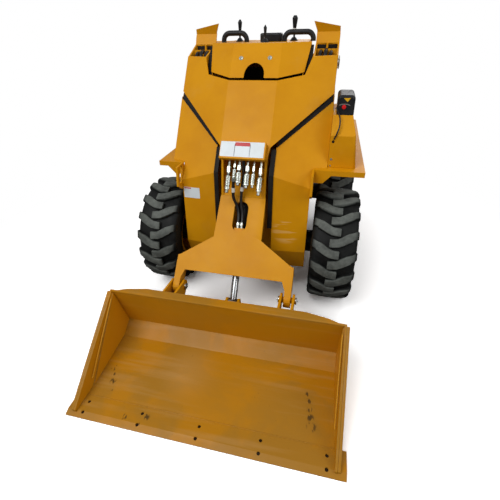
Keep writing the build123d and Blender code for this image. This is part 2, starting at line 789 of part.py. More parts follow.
with BuildPart() as neck:
    with BuildSketch(neck_plane):
        right_half = [
            (neck_half_top, 0), (neck_half_low, along(neck_foot_z)), (foot_half, along(foot_corner_z)),
            (leg_outer, along(foot_corner_z - 20)), (leg_outer, along(foot_edge_z - 30)),
            (leg_inner, along(foot_edge_z - 30)), (foot_half - 42, along(foot_edge_z)),
        ]
        Polygon(*right_half, *[(-x, v) for x, v in reversed(right_half)], align=None)
        with Locations((0, (along(slot_low_z) + along(slot_high_z)) / 2)):
            SlotOverall(along(slot_high_z) - along(slot_low_z), slot_width, rotation=90, mode=Mode.SUBTRACT)
    extrude(amount=-neck_sheet)
    for x in (neck_half_top - 2 - flange_thick, -neck_half_top + 2):
        with BuildSketch(side_plane(x)):
            Polygon(*station([
                (neck_face(neck_top_z) + neck_depth, neck_top_z),
                (neck_face(neck_top_z) + flange_depth, neck_top_z),
                (neck_face(foot_corner_z) + flange_depth, foot_corner_z + 10),
                (neck_face(foot_corner_z) + neck_depth, foot_corner_z),
            ]), align=None)
        extrude(amount=flange_thick)
        with BuildSketch(side_plane(x)):
            Polygon(*station([
                (neck_face(neck_ref_z - web_seat) + web_seat, neck_ref_z - web_seat),
                (boom_face(0, plate_low_z) + plate_depth, plate_low_z),
                (boom_face(0, neck_top_z) + plate_depth, neck_top_z),
                (neck_face(neck_top_z) + neck_depth, neck_top_z),
                (neck_face(neck_ref_z - web_seat) + neck_depth + 2, neck_ref_z - web_seat),
            ]), align=None)
        extrude(amount=flange_thick)
    with BuildSketch(side_plane(-neck_half_top + 2)):
        Polygon(*strip(station([
            (neck_ref_aft + 2, neck_ref_z),
            (recess_mid_aft, recess_mid_z),
            (neck_face(recess_low_z) + recess_depth, recess_low_z),
            (neck_face(neck_top_z) + recess_depth, neck_top_z),
        ]), recess_sheet), align=None)
    extrude(amount=2 * neck_half_top - 4)
    with BuildSketch(neck_plane.offset(-neck_sheet - hose_block_thick)):
        with Locations((0, (along(hose_block_z) + along(slot_low_z - 20)) / 2)):
            Rectangle(2 * hose_block_half, along(hose_block_z) - along(slot_low_z - 20))
    extrude(amount=hose_block_thick)
    with BuildSketch(side_plane(-neck_half_top + 2)):
        Polygon(*station([
            (boom_face(0, neck_top_z) + plate_depth, neck_top_z - 10),
            (boom_face(0, neck_top_z) + plate_depth, neck_top_z),
            (neck_face(neck_top_z) + flange_depth, neck_top_z),
            (neck_face(neck_top_z) + flange_depth - 9, neck_top_z - 10),
        ]), align=None)
    extrude(amount=2 * neck_half_top - 4)
    for x in (leg_inner, -leg_outer):
        with BuildSketch(side_plane(x)):
            Polygon(*station([
                (neck_face(foot_corner_z) + 4, foot_corner_z),
                (hinge_aft - 32, hinge_z + 14),
                (hinge_aft + 30, hinge_z - 12),
                (neck_face(foot_corner_z) + 80, foot_corner_z),
            ]), align=None)
            with Locations((aft(hinge_aft), hinge_z)):
                Circle(34)
            with Locations((aft(hinge_aft), hinge_z)):
                Circle(hinge_pin_radius + running_gap, mode=Mode.SUBTRACT)
        extrude(amount=leg_outer - leg_inner)
    for x in (tilt_lug_x, -tilt_lug_x - 12):
        with BuildSketch(side_plane(x)):
            Polygon(*station([
                (neck_face(tilt_base_z) + neck_depth, tilt_base_z),
                (tilt_base_aft, tilt_base_z + 24),
                (tilt_base_aft + 26, tilt_base_z + 8),
                (tilt_base_aft + 10, tilt_base_z - 26),
                (neck_face(tilt_base_z - 40) + neck_depth, tilt_base_z - 40),
            ]), align=None)
        extrude(amount=12)
    with BuildSketch(side_plane(-tilt_lug_x - 12)):
        with Locations((aft(tilt_base_aft), tilt_base_z)):
            Circle(cylinder_pin_radius)
    extrude(amount=2 * tilt_lug_x + 24)
save(neck, "boom_neck")


# Arms: open-bottomed channels from the plate's upper corners back to the pivots
arm_low_z = arm_top_z - arm_depth
arm_outer_in = boom_half - arm_wall
guard_aft = 384.0
pivot_boss = 52.0
lug_inner_x = arm_inner
lug_outer_x = lift_x + 22
lug_thick = 9.0
stop_aft = 330.0  # plate that closes each channel behind the boom plate
stop_top_z = 1180.0

for hand, side in (("left", 1), ("right", -1)):
    with BuildPart() as arm:
        for x in (arm_inner, arm_outer_in):
            edge = x + arm_wall
            with BuildSketch(side_plane(side * x if side > 0 else -edge)):
                Polygon(*station([
                    (boom_face(edge, arm_low_z) + plate_depth, arm_low_z),
                    (boom_face(edge, plate_top_z) + plate_depth, plate_top_z),
                    (guard_aft, arm_top_z),
                    (pivot_aft - 60, arm_top_z),
                    (pivot_aft + 20, pivot_z + 48),
                    (pivot_aft + 20, pivot_z - 40),
                    (pivot_aft - 60, arm_low_z),
                ]), align=None)
                with Locations((aft(pivot_aft), pivot_z)):
                    Circle(pivot_boss)
                if x == arm_inner:
                    Polygon(*station([
                        (lift_eye_aft - 90, arm_low_z + 1), (lift_eye_aft - 24, lift_eye_z - 12),
                        (lift_eye_aft + 24, lift_eye_z - 12), (lift_eye_aft + 90, arm_low_z + 1),
                    ]), align=None)
                    with Locations((aft(lift_eye_aft), lift_eye_z)):
                        Circle(28)
            extrude(amount=arm_wall)
        with BuildSketch(Plane.XY.offset(arm_top_z)):
            with Locations((side * (arm_inner + boom_half) / 2, (aft(guard_aft) + aft(pivot_aft - 60)) / 2)):
                Rectangle(boom_half - arm_inner, pivot_aft - 60 - guard_aft)
        extrude(amount=-arm_wall)
        with BuildSketch(front_plane(aft(stop_aft))):
            Polygon(*[(side * x, z) for x, z in [
                (arm_inner + 2, arm_low_z), (boom_half - 2, arm_low_z), (boom_half - 2, stop_top_z),
                (arm_inner + 2, stop_top_z),
            ]], align=None)
        extrude(amount=-arm_wall)
        with BuildSketch(side_plane(side * lug_outer_x if side > 0 else -lug_outer_x - lug_thick)):
            Polygon(*station([
                (lift_eye_aft - 90, arm_top_z - 4), (lift_eye_aft - 90, arm_low_z + 1),
                (lift_eye_aft - 24, lift_eye_z - 12), (lift_eye_aft + 24, lift_eye_z - 12),
                (lift_eye_aft + 90, arm_low_z + 1), (lift_eye_aft + 90, arm_top_z - 4),
            ]), align=None)
            with Locations((aft(lift_eye_aft), lift_eye_z)):
                Circle(28)
        extrude(amount=lug_thick)
        with BuildSketch(side_plane(side * arm_inner if side > 0 else -boom_half)):
            with Locations((aft(pivot_aft), pivot_z)):
                Circle(pivot_pin_radius + running_gap)
        extrude(amount=boom_half - arm_inner, mode=Mode.SUBTRACT)
    with BuildPart() as guard:
        with BuildSketch(side_plane(side * (hood_top_half - 10) if side > 0 else -boom_half)):
            Polygon(*strip(station([
                (guard_aft + 4, arm_top_z - 5), (guard_aft + 30, arm_top_z + 44), (guard_aft + 14, arm_top_z + 96),
            ]), -6), align=None)
        extrude(amount=boom_half - hood_top_half + 10)
        with BuildSketch(front_plane(aft(0))):
            Polygon(*[(side * x, z) for x, z in [
                (arm_inner, arm_top_z - 6), (arm_inner, arm_top_z + 50), (arm_inner - 17, arm_top_z + 90),
                (boom_half - 3, arm_top_z + 67), (boom_half, arm_top_z + 32), (boom_half, arm_top_z - 6),
            ]], align=None)
        extrude(amount=-900, mode=Mode.INTERSECT)
    with BuildPart() as arm_whole:
        add(arm.part)
        add(guard.part)
    save(arm_whole, f"arm_{hand}")

# Pivot pins: flanged pins on the towers, through the arms' walls, with a keeper outside
with BuildPart() as pivots:
    for side in (1, -1):
        pin_plane = Plane(origin=(side * frame_half, aft(pivot_aft), pivot_z), x_dir=(0, 1, 0), z_dir=(side, 0, 0))
        with BuildSketch(pin_plane):
            Circle(40)
        extrude(amount=12)
        with BuildSketch(pin_plane):
            Circle(pivot_pin_radius)
        extrude(amount=boom_half + 8 - frame_half)
        with BuildSketch(pin_plane.offset(boom_half + 1 - frame_half)):
            Circle(32)
        extrude(amount=8)
save(pivots, "pivot_pins")

# Coupler box square to the boom plate, with six couplers hanging from it
box_half = 104.0
box_depth = 35.0
box_high_z = 832.0  # where its top meets the boom plate
box_low_z = 768.0  # the same for its lower front edge
box_lip = 10.0
plate_cos = 1 / math.hypot(1, boom_lean)
plate_sin = boom_lean * plate_cos


def off_plate(z, depth):
    """Aft station and height of a point at a depth in front of the boom plate's middle."""
    return boom_face(0, z) - depth * plate_cos, z + depth * plate_sin


lip_aft, lip_z = off_plate(box_low_z, box_depth + 3)
with BuildPart() as coupler_box:
    with BuildSketch(side_plane(-box_half)):
        Polygon(*station([
            (boom_face(0, box_high_z), box_high_z), off_plate(box_high_z, box_depth), (lip_aft, lip_z),
            (lip_aft + box_lip, plate_low_z), (boom_face(0, plate_low_z), plate_low_z),
        ]), align=None)
    extrude(amount=2 * box_half)
save(coupler_box, "coupler_box")

# Coupler table: x, length along its axis, radius
coupler_table = [
    (-60.0, 148.0, 11.0), (-34.0, 84.0, 7.0), (-12.0, 112.0, 12.0), (26.0, 122.0, 12.0), (55.0, 118.0, 8.0),
    (87.0, 150.0, 11.0),
]
# Shape of a coupler: where each step starts and ends as shares of its length, its radius, its sides
coupler_steps = [
    (0.0, 0.2, 0.5, 8), (0.2, 0.38, 0.9, 6), (0.38, 0.5, 0.62, 8), (0.5, 0.9, 1.0, 12), (0.9, 1.0, 0.72, 8),
]
coupler_aft = -147.0
coupler_lean = 0.65  # forward travel of a coupler for each unit of drop
coupler_stub = 7.0
fitting_x = (-11.0, 8.0)  # of the two fittings at the hoses' lower ends
fitting_length = 12.0
fitting_top = along(hose_block_z) + fitting_length
block_middle = neck_plane.offset(-neck_sheet - hose_block_thick / 2)
hose_radius = 7.0
hose_last_run = 50.0
# Hose routes: x, aft, z of each corner down to the last straight run, which follows the fitting's axis
outer_route = [(-34, -196, 692), (-36, -199, 652), (-38, -199, 610), (-23, -190, 568)]
inner_route = [(6.5, -157, plate_low_z), (6.5, -157, 730), (2, -168, 675), (-3, -184, 620), (-4, -190, 568)]
ferrule_length = 16.0

with BuildPart() as couplers:
    for x, length, radius in coupler_table:
        with BuildSketch(Plane.XY.offset(plate_low_z)):
            with Locations((x, aft(coupler_aft))):
                RegularPolygon(radius * 0.5, 8)
        extrude(amount=-coupler_stub - 4)
        hang = Plane(
            origin=(x, aft(coupler_aft), plate_low_z - coupler_stub), x_dir=(1, 0, 0), z_dir=(0, -coupler_lean, -1)
        )
        for start, end, size, sides in coupler_steps:
            with BuildSketch(hang.offset(start * length)):
                RegularPolygon(radius * size, sides)
            extrude(amount=(end - start) * length)
    start, below = [Vector(x, aft(a), z) for x, a, z in outer_route[:2]]
    with BuildSketch(Plane(origin=start, x_dir=(1, 0, 0), z_dir=start - below)):
        RegularPolygon(hose_radius + 2, 8)
    extrude(amount=ferrule_length)
    for x in fitting_x:
        foot = block_middle.from_local_coords(Vector(x, along(hose_block_z), 0))
        with BuildSketch(Plane(origin=foot, x_dir=(1, 0, 0), z_dir=block_middle.y_dir)):
            RegularPolygon(hose_block_thick / 2, 8)
        extrude(amount=fitting_length)
save(couplers, "couplers")

# Tilt hoses: from the coupler box over the neck's top edge, through the slot to their fittings
def sweep_hose(route, name):
    """Round hose along its route, with arcs as large as the runs allow."""
    radii = []
    for before, here, after in zip(route, route[1:], route[2:]):
        run_in = Vector(*here) - Vector(*before)
        run_out = Vector(*after) - Vector(*here)
        turn = math.radians(run_in.get_angle(run_out))
        radii.append(0.45 * min(run_in.length, run_out.length) / math.tan(turn / 2))
    print(name, "radii", [round(r) for r in radii])
    with BuildPart() as hose:
        with BuildLine() as hose_path:
            FilletPolyline(*route, radius=radii)
        with BuildSketch(Plane(origin=route[0], z_dir=Vector(*route[1]) - Vector(*route[0]))):
            Circle(hose_radius)
        sweep(path=hose_path.line)
    print(name, "length", round(sum(edge.length for edge in hose_path.edges())))
    save(hose, name)


for x, route, name in zip(fitting_x, (outer_route, inner_route), ("tilt_hose_outer", "tilt_hose_inner")):
    straight = [block_middle.from_local_coords(Vector(x, fitting_top + run, 0)) for run in (hose_last_run, 0)]
    sweep_hose([(px, aft(a), z) for px, a, z in route] + [tuple(point) for point in straight], name)

# Bucket: bent shell, side plates, cutting edge and ears
shell_half = bucket_half - side_plate
shell_face = station([
    (bucket_top_aft, bucket_top_z), (bucket_heel_aft, bucket_heel_z), (bucket_toe_aft, bucket_toe_z),
    (edge_back_aft, edge_thick),
])
shell_outline = strip(shell_face, -bucket_plate)

with BuildPart() as bucket_shell:
    with BuildSketch(side_plane(-shell_half)):
        Polygon(*shell_outline, align=None)
    extrude(amount=2 * shell_half)
    with BuildSketch(Plane.XY.offset(bucket_top_z)):
        Polygon(*[(x, aft(bucket_top_aft + a)) for x, a in [
            (-shell_half, 0), (-shell_half + 60, 26), (-shell_half + 150, 44), (shell_half - 150, 44),
            (shell_half - 60, 26), (shell_half, 0),
        ]], align=None)
    extrude(amount=-7)
save(bucket_shell, "bucket_shell")

tip_aft = -999.0
doubler_thick = 6.0
doubler_tip_aft = -880.0


def floor_z(a):
    """Height of the bucket's floor at a station."""
    return bucket_toe_z + (edge_thick - bucket_toe_z) * (a - bucket_toe_aft) / (edge_back_aft - bucket_toe_aft)


with BuildPart() as bucket_sides:
    for x in (shell_half, -bucket_half):
        with BuildSketch(side_plane(x)):
            Polygon(
                *station([
                    (bucket_top_aft, bucket_top_z), (tip_aft, edge_thick + 10), (tip_aft, edge_thick),
                    (edge_back_aft, edge_thick),
                ]),
                *shell_outline[4:],
                align=None,
            )
        extrude(amount=side_plate)
    for x in (shell_half - doubler_thick, -shell_half):
        with BuildSketch(side_plane(x)):
            Polygon(*station([
                (bucket_top_aft, bucket_top_z - 10), (doubler_tip_aft, floor_z(doubler_tip_aft)),
                (bucket_toe_aft, bucket_toe_z), (bucket_heel_aft, bucket_heel_z),
            ]), align=None)
        extrude(amount=doubler_thick)
save(bucket_sides, "bucket_sides")

with BuildPart() as edge:
    with BuildSketch(side_plane(-edge_half)):
        Polygon(*station([
            (edge_back_aft, 0), (edge_back_aft, edge_thick), (-lip_reach + 24, edge_thick), (-lip_reach, 3),
            (-lip_reach, 0),
        ]), align=None)
    extrude(amount=2 * edge_half)
    for row in edge_rows:
        with BuildSketch(Plane.XY):
            with Locations((0, aft(row))):
                with GridLocations(edge_hole_pitch, 0, 5, 1):
                    Circle(edge_hole_radius)
        extrude(amount=edge_thick, mode=Mode.SUBTRACT)
save(edge, "cutting_edge")

ear_thick = 10.0
ear_gap = 8.0


def shell_back(z):
    """Aft station of the shell's rear face at a height on its upright back."""
    (y0, z0), (y1, z1) = shell_outline[-1], shell_outline[-2]
    return y0 + (y1 - y0) * (z - z0) / (z1 - z0) - front_axle_y


ear_reach = 30.0
with BuildPart() as ears:
    for side in (1, -1):
        for x in (leg_inner - ear_gap - ear_thick, leg_outer + ear_gap):
            with BuildSketch(side_plane(x if side > 0 else -x - ear_thick)):
                Polygon(*station([
                    (shell_back(292), 292), (hinge_aft - 8, hinge_z + 29), (hinge_aft + 6, hinge_z - 29),
                    (shell_back(120), 120),
                ]), align=None)
                with Locations((aft(hinge_aft), hinge_z)):
                    Circle(ear_reach)
            extrude(amount=ear_thick)
        with BuildSketch(side_plane(side * (leg_inner - ear_gap) if side > 0 else -leg_outer - ear_gap)):
            Polygon(*station([
                (shell_back(262), 262), (shell_back(262) + 62, 256), (shell_back(254) + 62, 248),
                (shell_back(254), 254),
            ]), align=None)
        extrude(amount=leg_outer - leg_inner + 2 * ear_gap)
        pin_in = leg_inner - ear_gap - ear_thick - 6
        pin_out = leg_outer + ear_gap + ear_thick + 6
        with BuildSketch(side_plane(side * pin_in if side > 0 else -pin_out)):
            with Locations((aft(hinge_aft), hinge_z)):
                Circle(hinge_pin_radius)
        extrude(amount=pin_out - pin_in)
        for x in (24, -34):
            if side > 0:
                with BuildSketch(side_plane(x)):
                    Polygon(*station([
                        (shell_back(230), 230), (tilt_eye_aft - 6, tilt_eye_z + 25), (tilt_eye_aft + 4, tilt_eye_z - 25),
                        (shell_back(96), 96),
                    ]), align=None)
                    with Locations((aft(tilt_eye_aft), tilt_eye_z)):
                        Circle(26)
                extrude(amount=10)
save(ears, "bucket_ears")


def cylinder_axis(x, base, eye):
    """Plane at a cylinder's base pin whose normal points along it to the eye."""
    return Plane(origin=(x, aft(base[0]), base[1]), x_dir=(1, 0, 0), z_dir=(0, eye[0] - base[0], eye[1] - base[1]))


def make_barrel(axis, eye_width, radius, length, bore, bore_from):
    """Barrel with its base eye across X and a bore for the rod."""
    with BuildPart() as barrel:
        with BuildSketch(axis.offset(cylinder_pin_radius + 14)):
            Circle(radius)
        extrude(amount=length - cylinder_pin_radius - 14)
        with BuildSketch(axis):
            Circle(eye_width / 2 - 3)
        extrude(amount=40)
        with BuildSketch(axis.offset(length - 26)):
            Circle(radius + 4)
        extrude(amount=26)
        with BuildSketch(side_plane(axis.origin.X - eye_width / 2)):
            with Locations((axis.origin.Y, axis.origin.Z)):
                Circle(cylinder_pin_radius + 11)
        extrude(amount=eye_width)
        with BuildSketch(side_plane(axis.origin.X - eye_width / 2)):
            with Locations((axis.origin.Y, axis.origin.Z)):
                Circle(cylinder_pin_radius + running_gap)
        extrude(amount=eye_width, mode=Mode.SUBTRACT)
        with BuildSketch(axis.offset(bore_from)):
            Circle(bore + running_gap)
        extrude(amount=length - bore_from, mode=Mode.SUBTRACT)
    return barrel


def make_rod(axis, eye_width, radius, start, length):
    """Rod from inside the barrel to its eye across X."""
    centre = axis.origin + axis.z_dir * length
    with BuildPart() as rod:
        with BuildSketch(axis.offset(start)):
            Circle(radius)
        extrude(amount=length - start - 10)
        with BuildSketch(side_plane(axis.origin.X - eye_width / 2)):
            with Locations((centre.Y, centre.Z)):
                Circle(cylinder_pin_radius + 9)
        extrude(amount=eye_width)
    return rod


tilt_base = (tilt_base_aft, tilt_base_z)
tilt_eye = (tilt_eye_aft, tilt_eye_z)
tilt_length = math.dist(tilt_base, tilt_eye)
tilt_axis = cylinder_axis(0, tilt_base, tilt_eye)
save(make_barrel(tilt_axis, 44, tilt_barrel_radius, 380, tilt_rod_radius, 32), "tilt_barrel")
save(make_rod(tilt_axis, 40, tilt_rod_radius, 168, tilt_length), "tilt_rod")

lift_base = (lift_base_aft, lift_base_z)
lift_eye = (lift_eye_aft, lift_eye_z)
lift_length = math.dist(lift_base, lift_eye)
for hand, side in (("left", 1), ("right", -1)):
    lift_axis = cylinder_axis(side * lift_x, lift_base, lift_eye)
    save(make_barrel(lift_axis, 34, lift_barrel_radius, 415, lift_rod_radius, 44), f"lift_barrel_{hand}")
    save(make_rod(lift_axis, 34, lift_rod_radius, 50, lift_length), f"lift_rod_{hand}")

with BuildPart() as lift_pins:
    for side in (1, -1):
        pin_plane = Plane(
            origin=(side * frame_half, aft(lift_base_aft), lift_base_z), x_dir=(0, 1, 0), z_dir=(side, 0, 0)
        )
        with BuildSketch(pin_plane):
            Circle(34)
        extrude(amount=8)
        with BuildSketch(pin_plane):
            Circle(19)
        extrude(amount=lift_x - 17 - 2 - frame_half)
        with BuildSketch(pin_plane):
            Circle(cylinder_pin_radius)
        extrude(amount=lift_x + 24 - frame_half)
save(lift_pins, "lift_pins")

# Operator's platform: a lipped tread plate hinged behind the frame
platform_half = 215.0
platform_z = 262.0
platform_sheet = 6.0
platform_hinge_aft = frame_rear + platform_gap / 2
platform_mid_y = aft(frame_rear + platform_gap + platform_depth / 2)
platform_pin = 8.0

with BuildPart() as platform:
    with BuildSketch(Plane.XY.offset(platform_z)):
        with Locations((0, platform_mid_y)):
            RectangleRounded(2 * platform_half, platform_depth, 24)
    extrude(amount=-platform_sheet)
    with BuildSketch(Plane.XY.offset(platform_z - platform_sheet)):
        with Locations((0, platform_mid_y)):
            RectangleRounded(2 * platform_half, platform_depth, 24)
            RectangleRounded(2 * platform_half - 10, platform_depth - 10, 20, mode=Mode.SUBTRACT)
    extrude(amount=-28)
    for x in (-170, 120):
        with BuildSketch(side_plane(x)):
            with Locations((aft(platform_hinge_aft), platform_z - 12)):
                Circle(15)
            Polygon(*station([
                (platform_hinge_aft, platform_z - 6), (platform_hinge_aft + 30, platform_z - 6),
                (platform_hinge_aft + 30, platform_z - 20), (platform_hinge_aft, platform_z - 22),
            ]), align=None)
            with Locations((aft(platform_hinge_aft), platform_z - 12)):
                Circle(platform_pin + running_gap, mode=Mode.SUBTRACT)
        extrude(amount=50)
save(platform, "operator_platform")

with BuildPart() as platform_hinge:
    for x in (-190, 180):
        with BuildSketch(side_plane(x)):
            Polygon(*station([
                (frame_rear, platform_z + 2), (platform_hinge_aft + 10, platform_z - 4),
                (platform_hinge_aft + 10, platform_z - 24), (frame_rear, platform_z - 50),
            ]), align=None)
        extrude(amount=10)
    with BuildSketch(side_plane(-190)):
        with Locations((aft(platform_hinge_aft), platform_z - 12)):
            Circle(platform_pin)
    extrude(amount=380)
save(platform_hinge, "platform_hinge")
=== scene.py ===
"""Compact stand-on skid steer loader: its finishes, fittings, studio and view.

Metres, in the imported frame. The machine faces -Y and its left side is +X. A station
along it is written as "aft", in millimetres behind the front axle, as on a drawing.
Sizes in the sub-assemblies' fields are millimetres; shaders and lamps use metres.
"""

import json
import logging
import math
from dataclasses import dataclass, field
from enum import Enum
from typing import Sequence

import bmesh
import bpy
from mathutils import Matrix, Vector


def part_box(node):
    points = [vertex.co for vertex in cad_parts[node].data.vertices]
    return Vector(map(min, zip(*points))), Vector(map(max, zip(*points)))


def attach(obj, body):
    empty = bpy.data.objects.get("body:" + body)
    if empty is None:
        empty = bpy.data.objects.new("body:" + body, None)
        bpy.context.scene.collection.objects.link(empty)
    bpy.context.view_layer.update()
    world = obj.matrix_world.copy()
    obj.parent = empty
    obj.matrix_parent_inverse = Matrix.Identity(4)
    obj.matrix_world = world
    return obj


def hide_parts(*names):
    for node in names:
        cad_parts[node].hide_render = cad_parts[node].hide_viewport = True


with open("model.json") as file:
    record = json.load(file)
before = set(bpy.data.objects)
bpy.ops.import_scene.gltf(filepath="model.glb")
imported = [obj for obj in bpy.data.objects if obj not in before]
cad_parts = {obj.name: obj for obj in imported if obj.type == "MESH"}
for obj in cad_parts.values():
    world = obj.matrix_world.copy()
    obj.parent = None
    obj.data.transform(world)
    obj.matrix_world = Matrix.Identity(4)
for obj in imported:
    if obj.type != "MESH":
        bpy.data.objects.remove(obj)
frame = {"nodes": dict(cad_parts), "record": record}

log = logging.getLogger("loader")

MM = 0.001
AXLE_Y = (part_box("tyre_front_left")[0].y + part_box("tyre_front_left")[1].y) / 2
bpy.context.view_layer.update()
SIDES = (-1, 1)
LEFT, FORWARD, BACK, UP = (Vector(v) for v in ((1, 0, 0), (0, -1, 0), (0, 1, 0), (0, 0, 1)))

Pair = tuple[float, float]
Triple = tuple[float, float, float]
Rgb = Triple
Pairs = Sequence[Pair]
Socket = bpy.types.NodeSocket


def at(x: float, aft: float, z: float) -> Vector:
    """Point in metres of a place in millimetres: left of the middle, aft, above the ground."""
    return Vector((x * MM, AXLE_Y + aft * MM, z * MM))


def linear(red: float, green: float, blue: float) -> tuple[float, float, float, float]:
    """Linear colour for a shader, from the 0 to 255 values that a screen shows."""
    shares = [value / 255 for value in (red, green, blue)]
    return (*(s / 12.92 if s <= 0.04045 else ((s + 0.055) / 1.055) ** 2.4 for s in shares), 1.0)


class Body(Enum):
    """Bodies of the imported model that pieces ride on."""

    CHASSIS = "chassis"
    BOOM = "boom"
    BUCKET = "bucket"
    TILT_BARREL = "tilt_barrel"
    PLATFORM = "platform"
    LIFT_BARREL_LEFT = "lift_barrel_left"
    LIFT_BARREL_RIGHT = "lift_barrel_right"
    WHEEL_FRONT_LEFT = "wheel_front_left"
    WHEEL_FRONT_RIGHT = "wheel_front_right"
    WHEEL_REAR_LEFT = "wheel_rear_left"
    WHEEL_REAR_RIGHT = "wheel_rear_right"


class Slot(Enum):
    """Material slots of the record."""

    YELLOW = "yellow_paint"
    BLACK = "black_paint"
    IRON = "engine_iron"
    TYRE = "tyre_rubber"
    PLASTIC = "black_plastic"
    ZINC = "zinc"
    CHROME = "chrome"
    HOSE = "hose_rubber"


class Look(Enum):
    """Finishes that a piece has instead of its slot's own."""

    BUCKET = "bucket_paint"
    # paler paint of the weld beads: a painted highlight
    WELD = "weld_highlight_paint"
    SEAL = "seal_rubber"
    SLEEVE = "sleeve_white"
    LABEL = "label_white"
    LABEL_RED = "label_red"
    LABEL_GREY = "label_grey"
    LABEL_YELLOW = "label_yellow"
    BUTTON = "button_red"
    # dark brown for discs in holes: painted shade of the holes
    HOLE_SHADE = "hole_dirt"
    GREY = "cap_grey"


class Nodes:
    """A node tree, with short ways to add nodes and join them."""

    def __init__(self, tree: bpy.types.NodeTree) -> None:
        """Keep the tree."""
        self.tree = tree

    def fill(self, node: bpy.types.Node, inputs: dict) -> None:
        """Set a node's inputs.

        Args:
            node: The node.
            inputs: A number, tuple or output socket for each input's place or name.
        """
        for key, source in inputs.items():
            if isinstance(source, Socket):
                self.tree.links.new(source, node.inputs[key])
            else:
                node.inputs[key].default_value = source

    def add(self, kind: str, inputs: dict | None = None, **settings: object) -> bpy.types.Node:
        """Add a node.

        Args:
            kind: What follows ShaderNode in the node's Blender type.
            inputs: Its inputs, as fill takes them.
            settings: Its properties, by name.

        Returns:
            The new node.
        """
        node = self.tree.nodes.new(f"ShaderNode{kind}")
        for key, value in settings.items():
            setattr(node, key, value)
        self.fill(node, inputs or {})
        return node

    def math(
        self, operation: str, first: object, second: object = 0.0, third: float = 0.0
    ) -> Socket:
        """Result of a Math node. MULTIPLY_ADD adds the third number last."""
        inputs = {0: first, 1: second, 2: third}
        return self.add("Math", inputs, operation=operation).outputs[0]

    def band(self, source: Socket, low: float, high: float) -> Socket:
        """Rise smoothly from 0 at low to 1 at high.

        Args:
            source: The number that is read.
            low: Where the rise starts.
            high: Where it ends. It may be under low, for a fall.

        Returns:
            The band's socket.
        """
        ends = {"From Min": min(low, high), "From Max": max(low, high)}
        values = {"To Min": float(high < low), "To Max": float(high >= low)}
        inputs = {"Value": source, **ends, **values}
        return self.add("MapRange", inputs, interpolation_type="SMOOTHSTEP").outputs["Result"]

    def blend(self, share: Socket, first: bpy.types.Node, second: bpy.types.Node) -> bpy.types.Node:
        """Mix of two shaders. The share is the second one's."""
        return self.add("MixShader", {0: share, 1: first.outputs[0], 2: second.outputs[0]})


class Shader(Nodes):
    """A material with a Principled surface, textured in its piece's own space."""

    def __init__(self, name: str) -> None:
        """Start the material.

        Args:
            name: The material's name.
        """
        self.material = bpy.data.materials.new(name)
        self.material.use_nodes = True
        super().__init__(self.material.node_tree)
        self.surface = next(n for n in self.tree.nodes if n.type == "BSDF_PRINCIPLED")
        self.place = self.add("TexCoord").outputs["Object"]

    def noise(
        self, scale: float, detail: float = 3.0, stretch: Triple | None = None,
        rough: float = 0.55, warp: float = 0.0,
    ) -> Socket:
        """Noise in the piece's own space.

        Args:
            scale: Waves to the metre.
            detail: Octaves.
            stretch: Factors on the three axes, for streaks.
            rough: Strength of the finer octaves.
            warp: Distortion.

        Returns:
            The noise's factor.
        """
        source = self.place
        if stretch:
            source = self.add("Mapping", {"Vector": source, "Scale": stretch}).outputs[0]
        inputs = {"Vector": source, "Scale": scale, "Detail": detail}
        inputs.update({"Roughness": rough, "Distortion": warp})
        return self.add("TexNoise", inputs).outputs["Fac"]

    def times(self, source: Socket, factor: object) -> Socket:
        """Product of two factors."""
        return self.math("MULTIPLY", source, factor)

    def mix(self, factor: object, first: object, second: object) -> Socket:
        """Blend of two colours or sockets. The factor is the second one's share."""
        return self.add("Mix", {0: factor, 6: first, 7: second}, data_type="RGBA").outputs[2]

    def distance(self, centre: Vector) -> Socket:
        """Distance in metres from a place in the piece's own space."""
        inputs = {0: self.place, 1: tuple(centre)}
        return self.add("VectorMath", inputs, operation="DISTANCE").outputs["Value"]

    def axes(self) -> list[Socket]:
        """X, Y and Z of the point in the piece's own space."""
        return list(self.add("SeparateXYZ", {0: self.place}).outputs)

    def facing(self, direction: Triple) -> Socket:
        """How far the surface faces a unit vector of the piece's own space."""
        inputs = {0: self.add("TexCoord").outputs["Normal"], 1: direction}
        return self.add("VectorMath", inputs, operation="DOT_PRODUCT").outputs["Value"]

    def bump(self, height: Socket, depth: float, strength: float = 1.0) -> None:
        """Raise the surface by a height map, over the maps laid before.

        Args:
            height: The map, from 0 to 1.
            depth: Metres from its lowest to its highest point.
            strength: Blender's strength.
        """
        inputs = {"Height": height, "Distance": depth, "Strength": strength}
        before = self.surface.inputs["Normal"].links
        if before:
            inputs["Normal"] = before[0].from_socket
        self.set(Normal=self.add("Bump", inputs).outputs[0])

    def set(self, **sockets: object) -> None:
        """Set or link inputs of the surface, by names with underscores for spaces."""
        self.fill(self.surface, {key.replace("_", " "): s for key, s in sockets.items()})


